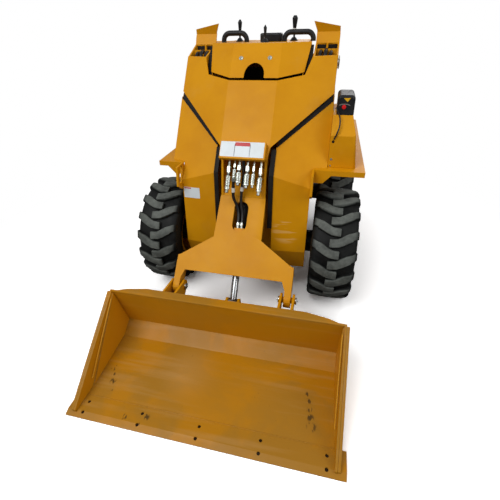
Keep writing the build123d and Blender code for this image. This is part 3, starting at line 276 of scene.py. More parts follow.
@dataclass(frozen=True)
class PaintFinish:
    """Sprayed machine paint with orange peel, faint clouds, rubs and thin dust."""

    name: str = "yellow_paint"
    colour: Rgb = (208, 143, 8)
    deep: Rgb = (198, 132, 5)
    dust: Rgb = (190, 148, 84)
    rub_colour: Rgb = (216, 164, 84)
    roughness: float = 0.42
    dust_share: float = 0.12
    gloss: float = 0.14
    rub_at: Vector = field(default_factory=lambda: at(212, -166, 436))
    rub_reach: Pair = (0.078, 0.05)

    def build(self) -> bpy.types.Material:
        """Make the material.

        Returns:
            The paint.
        """
        shader = Shader(self.name)
        clouds = shader.band(shader.noise(3.5, 4.0, rough=0.6), 0.35, 0.7)
        colour = shader.mix(clouds, linear(*self.colour), linear(*self.deep))
        specks = shader.band(shader.noise(170.0, 2.0), 0.66, 0.76)
        film = shader.band(shader.noise(9.0, 6.0, rough=0.7), 0.5, 0.8)
        film = shader.math("ADD", film, shader.math("MULTIPLY_ADD", specks, 0.35))
        colour = shader.mix(shader.times(film, self.dust_share), colour, linear(*self.dust))
        lines = shader.band(shader.noise(48.0, 2.0, stretch=(0.14, 0.3, 1.3)), 0.52, 0.58)
        near = shader.band(shader.distance(self.rub_at), *self.rub_reach)
        rubs = shader.times(shader.times(lines, near), 0.85)
        colour = shader.mix(rubs, colour, linear(*self.rub_colour))
        shade = shader.math("MULTIPLY_ADD", shader.noise(24.0, 4.0), 0.16, self.roughness - 0.08)
        shader.set(Base_Color=colour, Roughness=shade, Specular_IOR_Level=self.gloss)
        shader.bump(shader.noise(420.0, 2.0), 0.00012, 0.5)
        shader.bump(shader.noise(7.0, 2.0), 0.0008, 0.2)
        return shader.material


@dataclass(frozen=True)
class BucketFinish:
    """The bucket's paint: bright outside; darker, duller, streaked and oil-marked inside."""

    name: str = "bucket_paint"
    colour: Rgb = (204, 138, 10)
    # darker, duller colour of the inward faces
    inside_dark: Rgb = (158, 110, 26)
    bronze: Rgb = (174, 116, 6)
    bare: Rgb = (184, 142, 84)
    mark: Rgb = (88, 62, 20)
    gloss: float = 0.2
    inward: Triple = (0.0, -0.35, 0.937)
    # oil marks on the floor: width station, aft, reach in metres
    marks: tuple = (
        (-452, -790, 0.012), (-440, -815, 0.009), (-425, -848, 0.012), (-405, -880, 0.008),
        (392, -740, 0.009), (397, -770, 0.012), (402, -800, 0.010), (408, -830, 0.012),
        (414, -862, 0.016), (-215, -958, 0.012), (-300, -975, 0.010), (-236, -990, 0.008),
        (-398, -950, 0.007),
    )
    # where the floor meets the cutting edge: aft and height, and its slope from there
    edge_at: Pair = (-919, 12)
    edge_slope: float = -0.1017

    def build(self) -> bpy.types.Material:
        """Make the material.

        Returns:
            The bucket's paint.
        """
        shader = Shader(self.name)
        patches = shader.band(shader.noise(3.4, 4.0, rough=0.6, warp=0.5), 0.44, 0.6)
        # colour of the inward faces: darker and duller than the outside, with patches, streaks and
        # spots
        rubs = shader.mix(patches, linear(*self.inside_dark), linear(*self.bronze))
        streaks = shader.band(shader.noise(26.0, 5.0, stretch=(0.08, 1.0, 1.0)), 0.5, 0.72)
        rubs = shader.mix(shader.times(streaks, 0.3), rubs, linear(*self.bare))
        pale = shader.band(shader.distance(at(-110, -740, 30)), 0.16, 0.02)
        rubs = shader.mix(shader.times(pale, 0.34), rubs, linear(*self.bare))
        warm = shader.band(shader.distance(at(70, -745, 30)), 0.26, 0.08)
        rubs = shader.mix(shader.times(warm, 0.5), rubs, linear(*self.bronze))
        # faces that look inward take the darker inside colour
        inside = shader.band(shader.facing(self.inward), -0.1, 0.4)
        colour = self.oil(shader, shader.mix(inside, linear(*self.colour), rubs))
        grit = shader.band(shader.noise(95.0, 3.0), 0.7, 0.76)
        colour = shader.mix(shader.times(grit, 0.35), colour, linear(*self.mark))
        shade = shader.math("MULTIPLY_ADD", shader.noise(18.0, 5.0), 0.25, 0.3)
        shader.set(Base_Color=colour, Roughness=shade, Specular_IOR_Level=self.gloss)
        shader.bump(shader.noise(300.0, 2.0), 0.00014, 0.5)
        shader.bump(shader.noise(40.0, 4.0, stretch=(0.1, 2.0, 2.0)), 0.0003, 0.3)
        shader.bump(shader.noise(5.0, 2.0), 0.0012, 0.25)
        return shader.material

    def oil(self, shader: Shader, colour: Socket) -> Socket:
        """Lay the dark oil marks over the paint.

        Args:
            shader: The paint under construction.
            colour: Its colour so far.

        Returns:
            The colour with the marks.
        """
        flecks = shader.band(shader.noise(70.0, 3.0, stretch=(1.0, 0.4, 1.0), warp=0.4), 0.5, 0.56)
        for x, aft, reach in self.marks:
            height = self.edge_at[1] + max(0.0, (self.edge_at[0] - aft) * self.edge_slope)
            centre = at(x, aft, height)
            near = shader.band(shader.distance(centre), reach * 1.5, reach * 0.6)
            colour = shader.mix(shader.times(flecks, near), colour, linear(*self.mark))
        return colour


@dataclass(frozen=True)
class TyreFinish:
    """Black tyre rubber, greyer with dust on the bars' tops."""

    name: str
    axle: Pair
    rubber: Rgb = (8, 9, 9)
    dust: Rgb = (102, 106, 101)
    gloss: float = 0.18
    tread_radius: float = 0.274
    tread_rise: float = 0.012

    def build(self) -> bpy.types.Material:
        """Make the material.

        Returns:
            The rubber.
        """
        shader = Shader(self.name)
        away = [shader.math("SUBTRACT", a, b) for a, b in zip(shader.axes()[1:], self.axle)]
        square = shader.math("ADD", *(shader.times(way, way) for way in away))
        radius = shader.math("SQRT", square)
        top = shader.band(radius, self.tread_radius, self.tread_radius + self.tread_rise)
        film = shader.band(shader.noise(22.0, 6.0, rough=0.7), 0.3, 0.75)
        share = shader.times(top, shader.math("MULTIPLY_ADD", film, 0.5, 0.45))
        share = shader.math("ADD", share, shader.times(film, 0.07))
        colour = shader.mix(share, linear(*self.rubber), linear(*self.dust))
        shade = shader.math("MULTIPLY_ADD", film, 0.25, 0.48)
        shader.set(Base_Color=colour, Roughness=shade, Specular_IOR_Level=self.gloss)
        shader.bump(shader.noise(500.0, 2.0), 0.0003, 0.6)
        shader.bump(shader.noise(60.0, 4.0), 0.0008, 0.4)
        return shader.material


@dataclass(frozen=True)
class MetalFinish:
    """Bare or plated metal with fine turning marks and slight stains."""

    name: str
    colour: Rgb = (208, 214, 206)
    stain: Rgb = (150, 148, 132)
    roughness: float = 0.26
    spread: float = 0.2

    def build(self) -> bpy.types.Material:
        """Make the material.

        Returns:
            The metal.
        """
        shader = Shader(self.name)
        stains = shader.times(shader.band(shader.noise(70.0, 5.0), 0.45, 0.75), 0.5)
        colour = shader.mix(stains, linear(*self.colour), linear(*self.stain))
        base = self.roughness - self.spread / 2
        shade = shader.math("MULTIPLY_ADD", shader.noise(120.0, 3.0), self.spread, base)
        shader.set(Base_Color=colour, Roughness=shade, Metallic=1.0)
        shader.bump(shader.noise(900.0, 2.0), 0.00005, 0.4)
        return shader.material


@dataclass(frozen=True)
class MouldedFinish:
    """Plastic, rubber, dark paint or film: one colour with a grain and thin dust."""

    name: str
    colour: Rgb
    roughness: float = 0.45
    dust_share: float = 0.14
    gloss: float = 0.4
    grain: float = 700.0
    depth: float = 0.0002
    dust: Rgb = (105, 100, 88)

    def build(self) -> bpy.types.Material:
        """Make the material.

        Returns:
            The moulded finish.
        """
        shader = Shader(self.name)
        film = shader.band(shader.noise(14.0, 6.0, rough=0.7), 0.4, 0.8)
        share = shader.times(film, self.dust_share)
        colour = shader.mix(share, linear(*self.colour), linear(*self.dust))
        shade = shader.math("MULTIPLY_ADD", film, 0.18, self.roughness - 0.06)
        shader.set(Base_Color=colour, Roughness=shade, Specular_IOR_Level=self.gloss)
        shader.bump(shader.noise(self.grain, 2.0), self.depth, 0.5)
        return shader.material


class Finishes:
    """Every shared finish of the machine, built once and found by its slot or look."""

    def __init__(self) -> None:
        """Build the materials that the pieces share."""
        film = {"roughness": 0.35, "depth": 0.00003, "dust_share": 0.2, "gloss": 0.3}
        outside = Vector((9, 9, 9))  # far from the machine, so welds have no rubs
        finishes = (
            PaintFinish(),
            # paler paint on the weld beads: a painted highlight along them
            PaintFinish("weld_highlight_paint", (206, 150, 44), (196, 136, 18), rub_at=outside),
            BucketFinish(),
            MetalFinish("zinc"),
            MetalFinish("chrome", (176, 178, 180), (150, 150, 150), 0.22, 0.08),
            MouldedFinish("black_paint", (24, 25, 26), 0.38, grain=400.0, depth=0.0001),
            MouldedFinish("black_plastic", (22, 24, 27), 0.46, gloss=0.25),
            MouldedFinish("hose_rubber", (17, 17, 18), 0.42, 0.08),
            MouldedFinish("seal_rubber", (20, 17, 15), 0.6, 0.08, 0.2),
            MouldedFinish("engine_iron", (84, 84, 86), 0.6, grain=250.0, depth=0.0006),
            MouldedFinish("sleeve_white", (226, 226, 218), 0.4, 0.2),
            MouldedFinish("label_white", (214, 222, 226), dust=(190, 188, 178), **film),
            MouldedFinish("label_red", (186, 34, 40), **film),
            MouldedFinish("label_grey", (168, 176, 184), **film),
            MouldedFinish("label_yellow", (224, 172, 24), **film),
            MouldedFinish("button_red", (206, 24, 26), 0.3, 0.04),
            # dark brown for the discs in holes: painted shade of the holes, not dirt
            MouldedFinish("hole_dirt", (36, 22, 8), 0.9, depth=0.001, gloss=0.1),
            MouldedFinish("cap_grey", (120, 116, 112), 0.3, 0.1),
        )
        self.made = {finish.name: finish.build() for finish in finishes}
        self.made[Slot.TYRE.value] = self.made[Slot.HOSE.value]

    def of(self, kind: Slot | Look) -> bpy.types.Material:
        """Finish of a slot or look."""
        return self.made[kind.value]


def frame_of(origin: Vector, normal: Vector, across: Vector | None = None) -> Matrix:
    """Matrix of a local frame whose Z is the normal.

    Args:
        origin: The frame's origin.
        normal: Direction of its Z axis.
        across: Direction that its X axis comes nearest to.

    Returns:
        The 4 by 4 matrix.
    """
    z_axis = normal.normalized()
    hint = across or (LEFT if abs(z_axis.x) < 0.9 else BACK)
    x_axis = (hint - z_axis * hint.dot(z_axis)).normalized()
    return Matrix([*zip(x_axis, z_axis.cross(x_axis), z_axis, origin), (0, 0, 0, 1)])


def curve_through(points: Sequence[Vector], steps: int = 6) -> list[Vector]:
    """Points of a smooth curve that passes through the given ones.

    Args:
        points: What it passes through.
        steps: Number of its points from one of them to the next.

    Returns:
        The curve's points.
    """
    ends = [points[0] * 2 - points[1], *points, points[-1] * 2 - points[-2]]
    line = []
    for a, b, c, d in zip(ends, ends[1:], ends[2:], ends[3:]):
        for step in range(steps):
            t = step / steps
            square, cube = a * 2 - b * 5 + c * 4 - d, b * 3 - a - c * 3 + d
            line.append(((b * 2) + (c - a) * t + square * t**2 + cube * t**3) / 2)
    return [*line, points[-1]]


def strip(half: float, low: float, high: float) -> Pairs:
    """Corners of a rectangle that lies evenly about a frame's Y axis."""
    return [(-half, low), (half, low), (half, high), (-half, high)]


@dataclass(frozen=True)
class Facet:
    """Front face of a leaning plate, folded at a half-width, as a drawing gives it."""

    ref_aft: float
    ref_z: float
    lean: float
    sweep: float = 0.0
    fold: float = 0.0

    def aft(self, x: float, z: float) -> float:
        """Station of the face at a width and height, all in millimetres."""
        fold = max(abs(x) - self.fold, 0) * self.sweep
        return self.ref_aft + (z - self.ref_z) * self.lean + fold

    def place(self, x: float, z: float, proud: float = 0.0) -> Matrix:
        """Frame on the face.

        Args:
            x: Millimetres to the left of the machine's middle.
            z: Height in millimetres.
            proud: Millimetres in front of the face.

        Returns:
            A frame whose Z points out of the plate and whose X runs across it.
        """
        side = 0.0 if abs(x) < self.fold else math.copysign(self.sweep, x)
        normal = Vector((side, -1.0, self.lean)).normalized()
        return frame_of(at(x, self.aft(x, z), z) + normal * proud * MM, normal, LEFT)


NECK_PLATE = Facet(-160.0, 600.0, 0.9163)
UPPER_NOSE = Facet(-188.35, 700.0, 0.744, 0.2745)
LOWER_NOSE = Facet(-161.5, 655.0, 0.088, 0.079)
HOOD_PLATE = Facet(98.5, 1079.0, 0.87, 0.53, 114.0)
BOX_FRONT = Facet(-175.3, 790.6, 0.801)


class Form:
    """A mesh under construction. Places are in metres, and sizes in millimetres."""

    def __init__(self) -> None:
        """Start with no faces."""
        self.mesh = bmesh.new()

    def loop(self, points: Sequence[Vector]) -> list[bmesh.types.BMVert]:
        """Add the points as vertices."""
        return [self.mesh.verts.new(point) for point in points]

    def bridge(self, first: Sequence, second: Sequence) -> None:
        """Join two closed loops of as many vertices with quads."""
        for a, b, c, d in zip(first, [*first[1:], first[0]], [*second[1:], second[0]], second):
            self.mesh.faces.new((a, b, c, d))

    def stack(self, rings: Sequence[Sequence[Vector]], closed: bool = False) -> None:
        """Skin a pile of closed rings.

        Args:
            rings: Rings of places, all as long.
            closed: Whether the last ring joins the first. Else both are filled.
        """
        loops = [self.loop(ring) for ring in rings]
        for first, second in zip(loops, loops[1:] + (loops[:1] if closed else [])):
            self.bridge(first, second)
        if not closed:
            self.mesh.faces.new(loops[0][::-1])
            self.mesh.faces.new(loops[-1])

    def turned(self, place: Matrix, profile: Pairs, sides: int = 32, closed: bool = False) -> None:
        """Turn a profile about a frame's Z axis.

        Args:
            place: The frame.
            profile: Radius and height pairs.
            sides: Number of sides.
            closed: Whether the profile's end joins its start, as on a ring.
        """
        turns = [2 * math.pi * i / sides for i in range(sides)]
        rings = []
        for radius, height in profile:
            ring = [(radius * math.cos(a), radius * math.sin(a), height) for a in turns]
            rings.append([place @ (Vector(point) * MM) for point in ring])
        self.stack(rings, closed)

    def prism(self, outline: Sequence[Vector], depth: Vector) -> None:
        """Push a closed outline along a vector."""
        self.stack([list(outline), [point + depth for point in outline]])

    def slab(self, place: Matrix, outline: Pairs, thick: float) -> None:
        """Flat plate on a frame's XY plane, from its corners and thickness."""
        heights = (0.0, thick * MM)
        self.stack([[place @ Vector((x * MM, y * MM, h)) for x, y in outline] for h in heights])

    def tube(self, path: Sequence[Vector], radius: float | Sequence[float], sides: int) -> None:
        """Skin a round tube along a path.

        Args:
            path: Points of its middle line.
            radius: Its radius in millimetres, or one for each point.
            sides: Number of sides.
        """
        radii = [radius] * len(path) if isinstance(radius, float) else radius
        rings = []
        across = None
        for i, point in enumerate(path):
            ahead = path[min(i + 1, len(path) - 1)] - path[max(i - 1, 0)]
            if across is None:
                across = frame_of(point, ahead).col[0].to_3d()
            place = frame_of(point, ahead, across)
            across = place.col[0].to_3d()
            ring = []
            for j in range(sides):
                angle = 2 * math.pi * j / sides
                spoke = Vector((math.cos(angle), math.sin(angle), 0))
                ring.append(place @ (spoke * radii[i] * MM))
            rings.append(ring)
        self.stack(rings)

    def round_edges(self, width: float, angle: float = 0.6) -> None:
        """Round the mesh's sharp edges.

        Args:
            width: The rounding's width in millimetres.
            angle: Edges sharper than this are rounded, in radians.
        """
        bmesh.ops.remove_doubles(self.mesh, verts=self.mesh.verts, dist=1e-6)
        self.mesh.normal_update()
        whole = [edge for edge in self.mesh.edges if len(edge.link_faces) == 2]
        edges = [edge for edge in whole if edge.calc_face_angle() > angle]
        settings = {"segments": 2, "profile": 0.6, "affect": "EDGES", "clamp_overlap": True}
        bmesh.ops.bevel(self.mesh, geom=edges, offset=width * MM, **settings)


@dataclass(frozen=True)
class Assembly:
    """A sub-assembly, with the finishes for its pieces."""

    finishes: Finishes

    def hang(self, piece: bpy.types.Object, body: Body, slot: Slot) -> None:
        """Put a piece into the scene, on its body.

        Args:
            piece: The piece.
            body: The body that it rides on.
            slot: Not used.
        """
        bpy.context.scene.collection.objects.link(piece)
        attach(piece, body.value)
        log.info("piece %s on %s", piece.name, body.value)

    def piece(
        self, name: str, form: Form, body: Body, slot: Slot,
        look: Look | bpy.types.Material | None = None, sharp: float = 0.6,
    ) -> bpy.types.Object:
        """Make one finished piece and hang it on its body.

        Args:
            name: The piece's name.
            form: Its mesh.
            body: The body that it rides on.
            slot: The record's slot, whose finish it takes when no look is given.
            look: Its finish, if it isn't the slot's own.
            sharp: Edges sharper than this stay sharp, in radians.

        Returns:
            The piece.
        """
        bmesh.ops.recalc_face_normals(form.mesh, faces=form.mesh.faces)
        mesh = bpy.data.meshes.new(name)
        form.mesh.to_mesh(mesh)
        form.mesh.free()
        for face in mesh.polygons:
            face.use_smooth = True
        mesh.set_sharp_from_angle(angle=sharp)
        own = isinstance(look, bpy.types.Material)
        mesh.materials.append(look if own else self.finishes.of(look or slot))
        piece = bpy.data.objects.new(name, mesh)
        self.hang(piece, body, slot)
        return piece


@dataclass(frozen=True)
class PhotoCamera:
    """The photograph's camera, fitted to mirror pairs of points on the machine."""

    place: Triple = (0.352, -1.6305, 1.288)
    yaw: float = 13.93
    pitch: float = 33.01
    roll: float = -1.57
    focal_px: float = 334.6
    centre_px: Pair = (244.9, 241.6)
    frame_px: float = 500.0
    sensor_mm: float = 36.0
    clip_start: float = 0.02

    def build(self) -> None:
        """Make the camera and give it to the scene."""
        yaw, pitch = math.radians(self.yaw), math.radians(self.pitch)
        level = Vector((-math.sin(yaw), math.cos(yaw), 0)) * math.cos(pitch)
        turn = (level - UP * math.sin(pitch)).to_track_quat("-Z", "Y").to_matrix().to_4x4()
        roll = Matrix.Rotation(math.radians(self.roll), 4, "Z")
        camera = bpy.data.cameras.new("photo_camera")
        camera.sensor_width = self.sensor_mm
        camera.lens = self.sensor_mm * self.focal_px / self.frame_px
        camera.shift_x = (self.frame_px / 2 - self.centre_px[0]) / self.frame_px
        camera.shift_y = (self.centre_px[1] - self.frame_px / 2) / self.frame_px
        camera.clip_start = self.clip_start
        holder = bpy.data.objects.new("photo_camera", camera)
        holder.matrix_world = Matrix.Translation(self.place) @ turn @ roll
        bpy.context.scene.collection.objects.link(holder)
        bpy.context.scene.camera = holder


@dataclass(frozen=True)
class Studio:
    """Pale floor, white surroundings and soft lamps. Its sizes are metres."""

    floor_size: float = 40.0
    floor_z: float = -0.0005
    floor_grey: float = 0.18
    shadow_white: float = 1.5
    fade: Pair = (1.15, 2.1)
    world_strength: float = 0.38
    aim: Triple = (0, 0, 0.55)
    # name, place, size, power
    lamps: tuple = (
        ("key", (-1.5, -3.0, 4.1), 2.8, 142.0),
        ("fill", (3.2, -1.6, 2.9), 2.4, 42.0),
        ("back", (0.6, 3.6, 2.8), 3.0, 55.0),
    )

    def build(self) -> None:
        """Make the floor, the world and the lamps."""
        scene = bpy.context.scene
        scene.view_settings.view_transform = "Standard"
        self.make_world(scene)
        self.make_floor(scene)
        for name, place, size, power in self.lamps:
            lamp = bpy.data.lights.new(name, "AREA")
            lamp.size, lamp.energy = size, power
            holder = bpy.data.objects.new(name, lamp)
            holder.location = place
            ahead = Vector(self.aim) - Vector(place)
            holder.rotation_euler = ahead.to_track_quat("-Z", "Y").to_euler()
            scene.collection.objects.link(holder)

    def make_world(self, scene: bpy.types.Scene) -> None:
        """Make the world white to the camera and through glass, and softer as light.

        Args:
            scene: The scene that gets the world.
        """
        scene.world = bpy.data.worlds.new("white_room")
        scene.world.use_nodes = True
        nodes = Nodes(scene.world.node_tree)
        strengths = {0: self.seen_rays(nodes), 2: self.world_strength, 3: 1.0}
        seen = nodes.add("Mix", strengths, data_type="FLOAT").outputs[0]
        nodes.fill(nodes.tree.nodes["Background"], {"Color": (1, 1, 1, 1), "Strength": seen})

    def seen_rays(self, nodes: Nodes) -> Socket:
        """One for rays of the camera and of glass, 0 for the light's."""
        path = nodes.add("LightPath").outputs
        return nodes.math("MAXIMUM", path["Is Camera Ray"], path["Is Transmission Ray"])

    def make_floor(self, scene: bpy.types.Scene) -> None:
        """Lay a white floor that keeps a soft shadow near the machine.

        Args:
            scene: The scene that gets the floor.
        """
        material = bpy.data.materials.new("floor_white")
        material.use_nodes = True
        nodes = Nodes(material.node_tree)
        nodes.tree.nodes.clear()
        shadow, plain = (
            nodes.add("BsdfDiffuse", {"Color": (white, white, white, 1)})
            for white in (self.shadow_white, self.floor_grey)
        )
        place = nodes.add("NewGeometry").outputs["Position"]
        away = nodes.add("VectorMath", {0: place}, operation="LENGTH").outputs["Value"]
        view = nodes.blend(nodes.band(away, *self.fade), shadow, nodes.add("Emission"))
        whole = nodes.blend(self.seen_rays(nodes), plain, view)
        nodes.add("OutputMaterial", {"Surface": whole.outputs[0]})
        half = self.floor_size / 2
        mesh = bpy.data.meshes.new("floor")
        corners = [(x, y, self.floor_z) for x, y in strip(half, -half, half)]
        mesh.from_pydata(corners, [], [(0, 1, 2, 3)])
        mesh.materials.append(material)
        floor = bpy.data.objects.new("floor", mesh)
        scene.collection.objects.link(floor)


@dataclass(frozen=True)
class PaintedSteel(Assembly):
    """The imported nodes, each with its finish and rounded edges."""

    merge: float = 0.01
    flat_degrees: float = 0.4
    sharp: float = 0.6
    edge_round: float = 1.8
    edge_segments: int = 2
    tank_round: float = 12.5
    tank_segments: int = 6
    bucket_nodes: tuple[str, ...] = ("bucket_shell", "bucket_sides", "cutting_edge")
    smooth_nodes: tuple[str, ...] = ("tyre", "hose", "hand_loops")

    def build(self) -> None:
        """Dress the nodes."""
        slots = {row["node"]: Slot(row["material_slot"]) for row in frame["record"]["subparts"]}
        for name, node in frame["nodes"].items():
            finish = self.finishes.of(Look.BUCKET if name in self.bucket_nodes else slots[name])
            for row in node.material_slots:
                row.material = finish
            if not any(word in name for word in self.smooth_nodes):
                self.soften(node)

    def soften(self, node: bpy.types.Object) -> None:
        """Round a node's edges with modifiers, which leave its mesh alone.

        Args:
            node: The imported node.
        """
        weld = node.modifiers.new("weld", "WELD")
        weld.merge_threshold = self.merge * MM
        flat = node.modifiers.new("flat_faces", "DECIMATE")
        flat.decimate_type = "DISSOLVE"
        flat.angle_limit = math.radians(self.flat_degrees)
        bevel = node.modifiers.new("edge_round", "BEVEL")
        bevel.width, bevel.segments = self.edge_round * MM, self.edge_segments
        if node.name.startswith("tank_top"):
            bevel.width, bevel.segments = self.tank_round * MM, self.tank_segments
        bevel.limit_method = "ANGLE"
        bevel.angle_limit = self.sharp
        bevel.harden_normals = True


@dataclass(frozen=True)
class BoomFoot(Assembly):
    """The boom's neck with the rear top corners of its legs cut lower."""

    leg_middle: float = 261.0
    leg_half: float = 16.0
    top_z: float = 371.0
    depth: float = 80.0
    # the legs' rear corner at the hinge, and how far the top one moves toward it
    hinge_corner: Pair = (-412.0, 233.0)
    cut_share: float = 0.35
    near: float = 2.0

    def build(self) -> None:
        """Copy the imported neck, lower the corners and put the copy in its place."""
        node = frame["nodes"]["boom_neck"]
        mesh = node.data.copy()
        corner = at(0, NECK_PLATE.aft(0, self.top_z) + self.depth, self.top_z)
        lowered = corner.lerp(at(0, *self.hinge_corner), self.cut_share)
        back = node.matrix_world.inverted()
        for vertex in mesh.vertices:
            place = node.matrix_world @ vertex.co
            on_leg = abs(abs(place.x) - self.leg_middle * MM) < self.leg_half * MM
            if on_leg and (place.yz - corner.yz).length < self.near * MM:
                vertex.co = back @ Vector((place.x, *lowered.yz))
        piece = bpy.data.objects.new("boom_neck_trimmed", mesh)
        piece.matrix_world = node.matrix_world
        PaintedSteel(self.finishes).soften(piece)
        self.hang(piece, Body.BOOM, Slot.YELLOW)
        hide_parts("boom_neck")


@dataclass(frozen=True)
class TiltHoses(Assembly):
    """The two hoses of the tilt cylinder, each a spline along its route."""

    diameter: float = 0.014  # metres, as the lengths below
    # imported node, length, and the route's points: width station, aft, height
    routes: tuple = (
        ("tilt_hose_outer", 0.226, (
            (-34, -196, 692), (-36, -199, 652), (-38, -199, 610), (-23, -190, 568),
            (-11, -205.8, 521.9), (-11, -239.6, 485.0),
        )),
        ("tilt_hose_inner", 0.314, (
            (6.5, -157, 779), (6.5, -157, 730), (2, -168, 675), (-3, -184, 620),
            (-4, -190, 568), (8, -205.8, 521.9), (8, -239.6, 485.0),
        )),
    )

    def build(self) -> None:
        for node, length, route in self.routes:
            points = [at(*point) for point in route]
            curve = bpy.data.curves.new(f"{node}_line", "CURVE")
            curve.dimensions = "3D"
            curve.bevel_depth = self.diameter / 2
            curve.bevel_resolution = 5
            curve.resolution_u = 16
            curve.use_fill_caps = True
            spline = curve.splines.new("NURBS")
            spline.points.add(len(points) - 1)
            for knot, point in zip(spline.points, points):
                knot.co = (*point, 1.0)
            spline.order_u = 3
            spline.use_endpoint_u = True
            curve.materials.append(self.finishes.of(Slot.HOSE))
            hose = bpy.data.objects.new(f"{node}_line", curve)
            self.hang(hose, Body.BOOM, Slot.HOSE)
            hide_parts(node)


@dataclass(frozen=True)
class Tyres(Assembly):
    """Traction tyres with swept bars, and the bolts and caps of their rims."""

    bars: int = 17
    radius: float = 291.0
    half_width: float = 106.9
    bar_round: float = 3.5
    # sections whose corners follow the bar's slant, and factors on their half width
    slanted_rows: int = 6
    foot_wide: float = 1.12
    top_wide: float = 0.94
    rim_face: float = 32.0
    bolt_circle: float = 46.0
    bolts: int = 6
    first_bolt: float = 15.0  # degrees
    # one half of the carcass, to its middle: radius, width station
    carcass: tuple = (
        (153, -89), (162, -94), (170, -99), (176, -101.5), (180, -103.2), (184, -102.2),
        (212, -105.6), (217, -106.8), (222, -106), (246, -102.5), (256, -99), (263, -88),
        (267, -72), (268, -40),
    )
    # sections of a bar, from the tyre's middle out: along the tread, across at the top,
    # top radius, across at the foot, foot radius, half width
    bar: tuple = (
        (0, -24, 291.0, -22, 262, 20), (0, -10, 291.2, -10, 262, 20),
        (3, 16, 291.2, 16, 262, 20), (12, 34, 290.8, 34, 262, 20),
        (22, 50, 290.0, 50, 262, 20.5), (33, 68, 288.4, 67, 260, 21),
        (42, 84, 286.0, 82, 256, 21.5), (48, 97, 280.0, 92, 250, 22),
        (50, 104.5, 271.0, 96, 246, 22), (50, 106.8, 260.0, 97, 242, 21),
        (50, 105.2, 243.0, 98, 238, 19),
    )
    # radius and height
    bolt: tuple = (
        (11, -1), (11, 2), (8.5, 2.2), (8.5, 8), (7.0, 9.5), (4.5, 9.5), (4.5, 12), (3.5, 13),
    )
    cap: tuple = ((28, -1), (28, 3), (25, 7), (12, 9), (2, 9.5))

    def build(self) -> None:
        """Dress the four wheels."""
        for body in Body:
            if body.value.startswith("wheel"):
                low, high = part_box(body.value.replace("wheel", "tyre"))
                centre = (Vector(low) + Vector(high)) / 2
                outward = Vector((math.copysign(1, centre.x), 0, 0))
                self.tyre(body, centre, outward)
                self.rim_fittings(body, centre, outward)

    def tyre(self, body: Body, centre: Vector, outward: Vector) -> None:
        """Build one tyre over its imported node.

        Args:
            body: The wheel.
            centre: The wheel's middle.
            outward: The side that faces away from the machine.
        """
        node = body.value.replace("wheel", "tyre")
        finish = TyreFinish(f"rubber_{body.value}", (centre.y, centre.z)).build()
        carcass, tread = Form(), Form()
        profile = [*self.carcass, *((radius, -x) for radius, x in reversed(self.carcass))]
        carcass.turned(frame_of(centre, outward), profile, sides=96, closed=True)
        for index in range(self.bars * 2):
            side = outward * (1 if index % 2 else -1)
            self.add_bar(tread, centre, side, math.pi * index / self.bars)
        tread.round_edges(self.bar_round, angle=0.7)
        for part, form in (("carcass", carcass), ("tread", tread)):
            piece = self.piece(f"{node}_{part}", form, body, Slot.TYRE, finish, sharp=0.9)
            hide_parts(node)

    def add_bar(self, form: Form, centre: Vector, side: Vector, angle: float) -> None:
        """Add one bar of the tread.

        Args:
            form: The tread's mesh.
            centre: The wheel's middle.
            side: The way that is against the bar's run across the tread.
            angle: The bar's place round the wheel.
        """
        rings = []
        for i, (along, top_x, top_r, foot_x, foot_r, half) in enumerate(self.bar):
            before, after = self.bar[max(i - 1, 0)], self.bar[min(i + 1, len(self.bar) - 1)]
            run, rise = after[0] - before[0], max(after[1] - before[1], 1.0)
            step = Vector((rise, -run)) / math.hypot(run, rise) * half
            slant = 1 if i < self.slanted_rows else 0
            corners = ((foot_x, foot_r, self.foot_wide), (top_x, top_r, self.top_wide))
            ring = []
            for sign, order in ((-1, corners), (1, corners[::-1])):
                for x, radius, wide in order:
                    theta = angle - (along + sign * step.x * wide) / self.radius
                    reach = x + sign * step.y * wide * slant
                    reach = min(max(reach, -self.half_width), self.half_width)
                    spin = Vector((0, math.cos(theta), math.sin(theta))) * radius * MM
                    ring.append(centre + spin - side * reach * MM)
            rings.append(ring)
        form.stack(rings)

    def rim_fittings(self, body: Body, centre: Vector, outward: Vector) -> None:
        """Add the wheel's bolts and hub cap.

        Args:
            body: The wheel.
            centre: The wheel's middle.
            outward: The side that faces away from the machine.
        """
        face = centre + outward * self.rim_face * MM
        form = Form()
        for index in range(self.bolts):
            angle = math.radians(360 / self.bolts * index + self.first_bolt)
            spoke = Vector((0, math.cos(angle), math.sin(angle)))
            form.turned(frame_of(face + spoke * self.bolt_circle * MM, outward), self.bolt, 12)
        form.turned(frame_of(face, outward), self.cap)
        self.piece(f"{body.value}_bolts", form, body, Slot.ZINC, sharp=0.5)


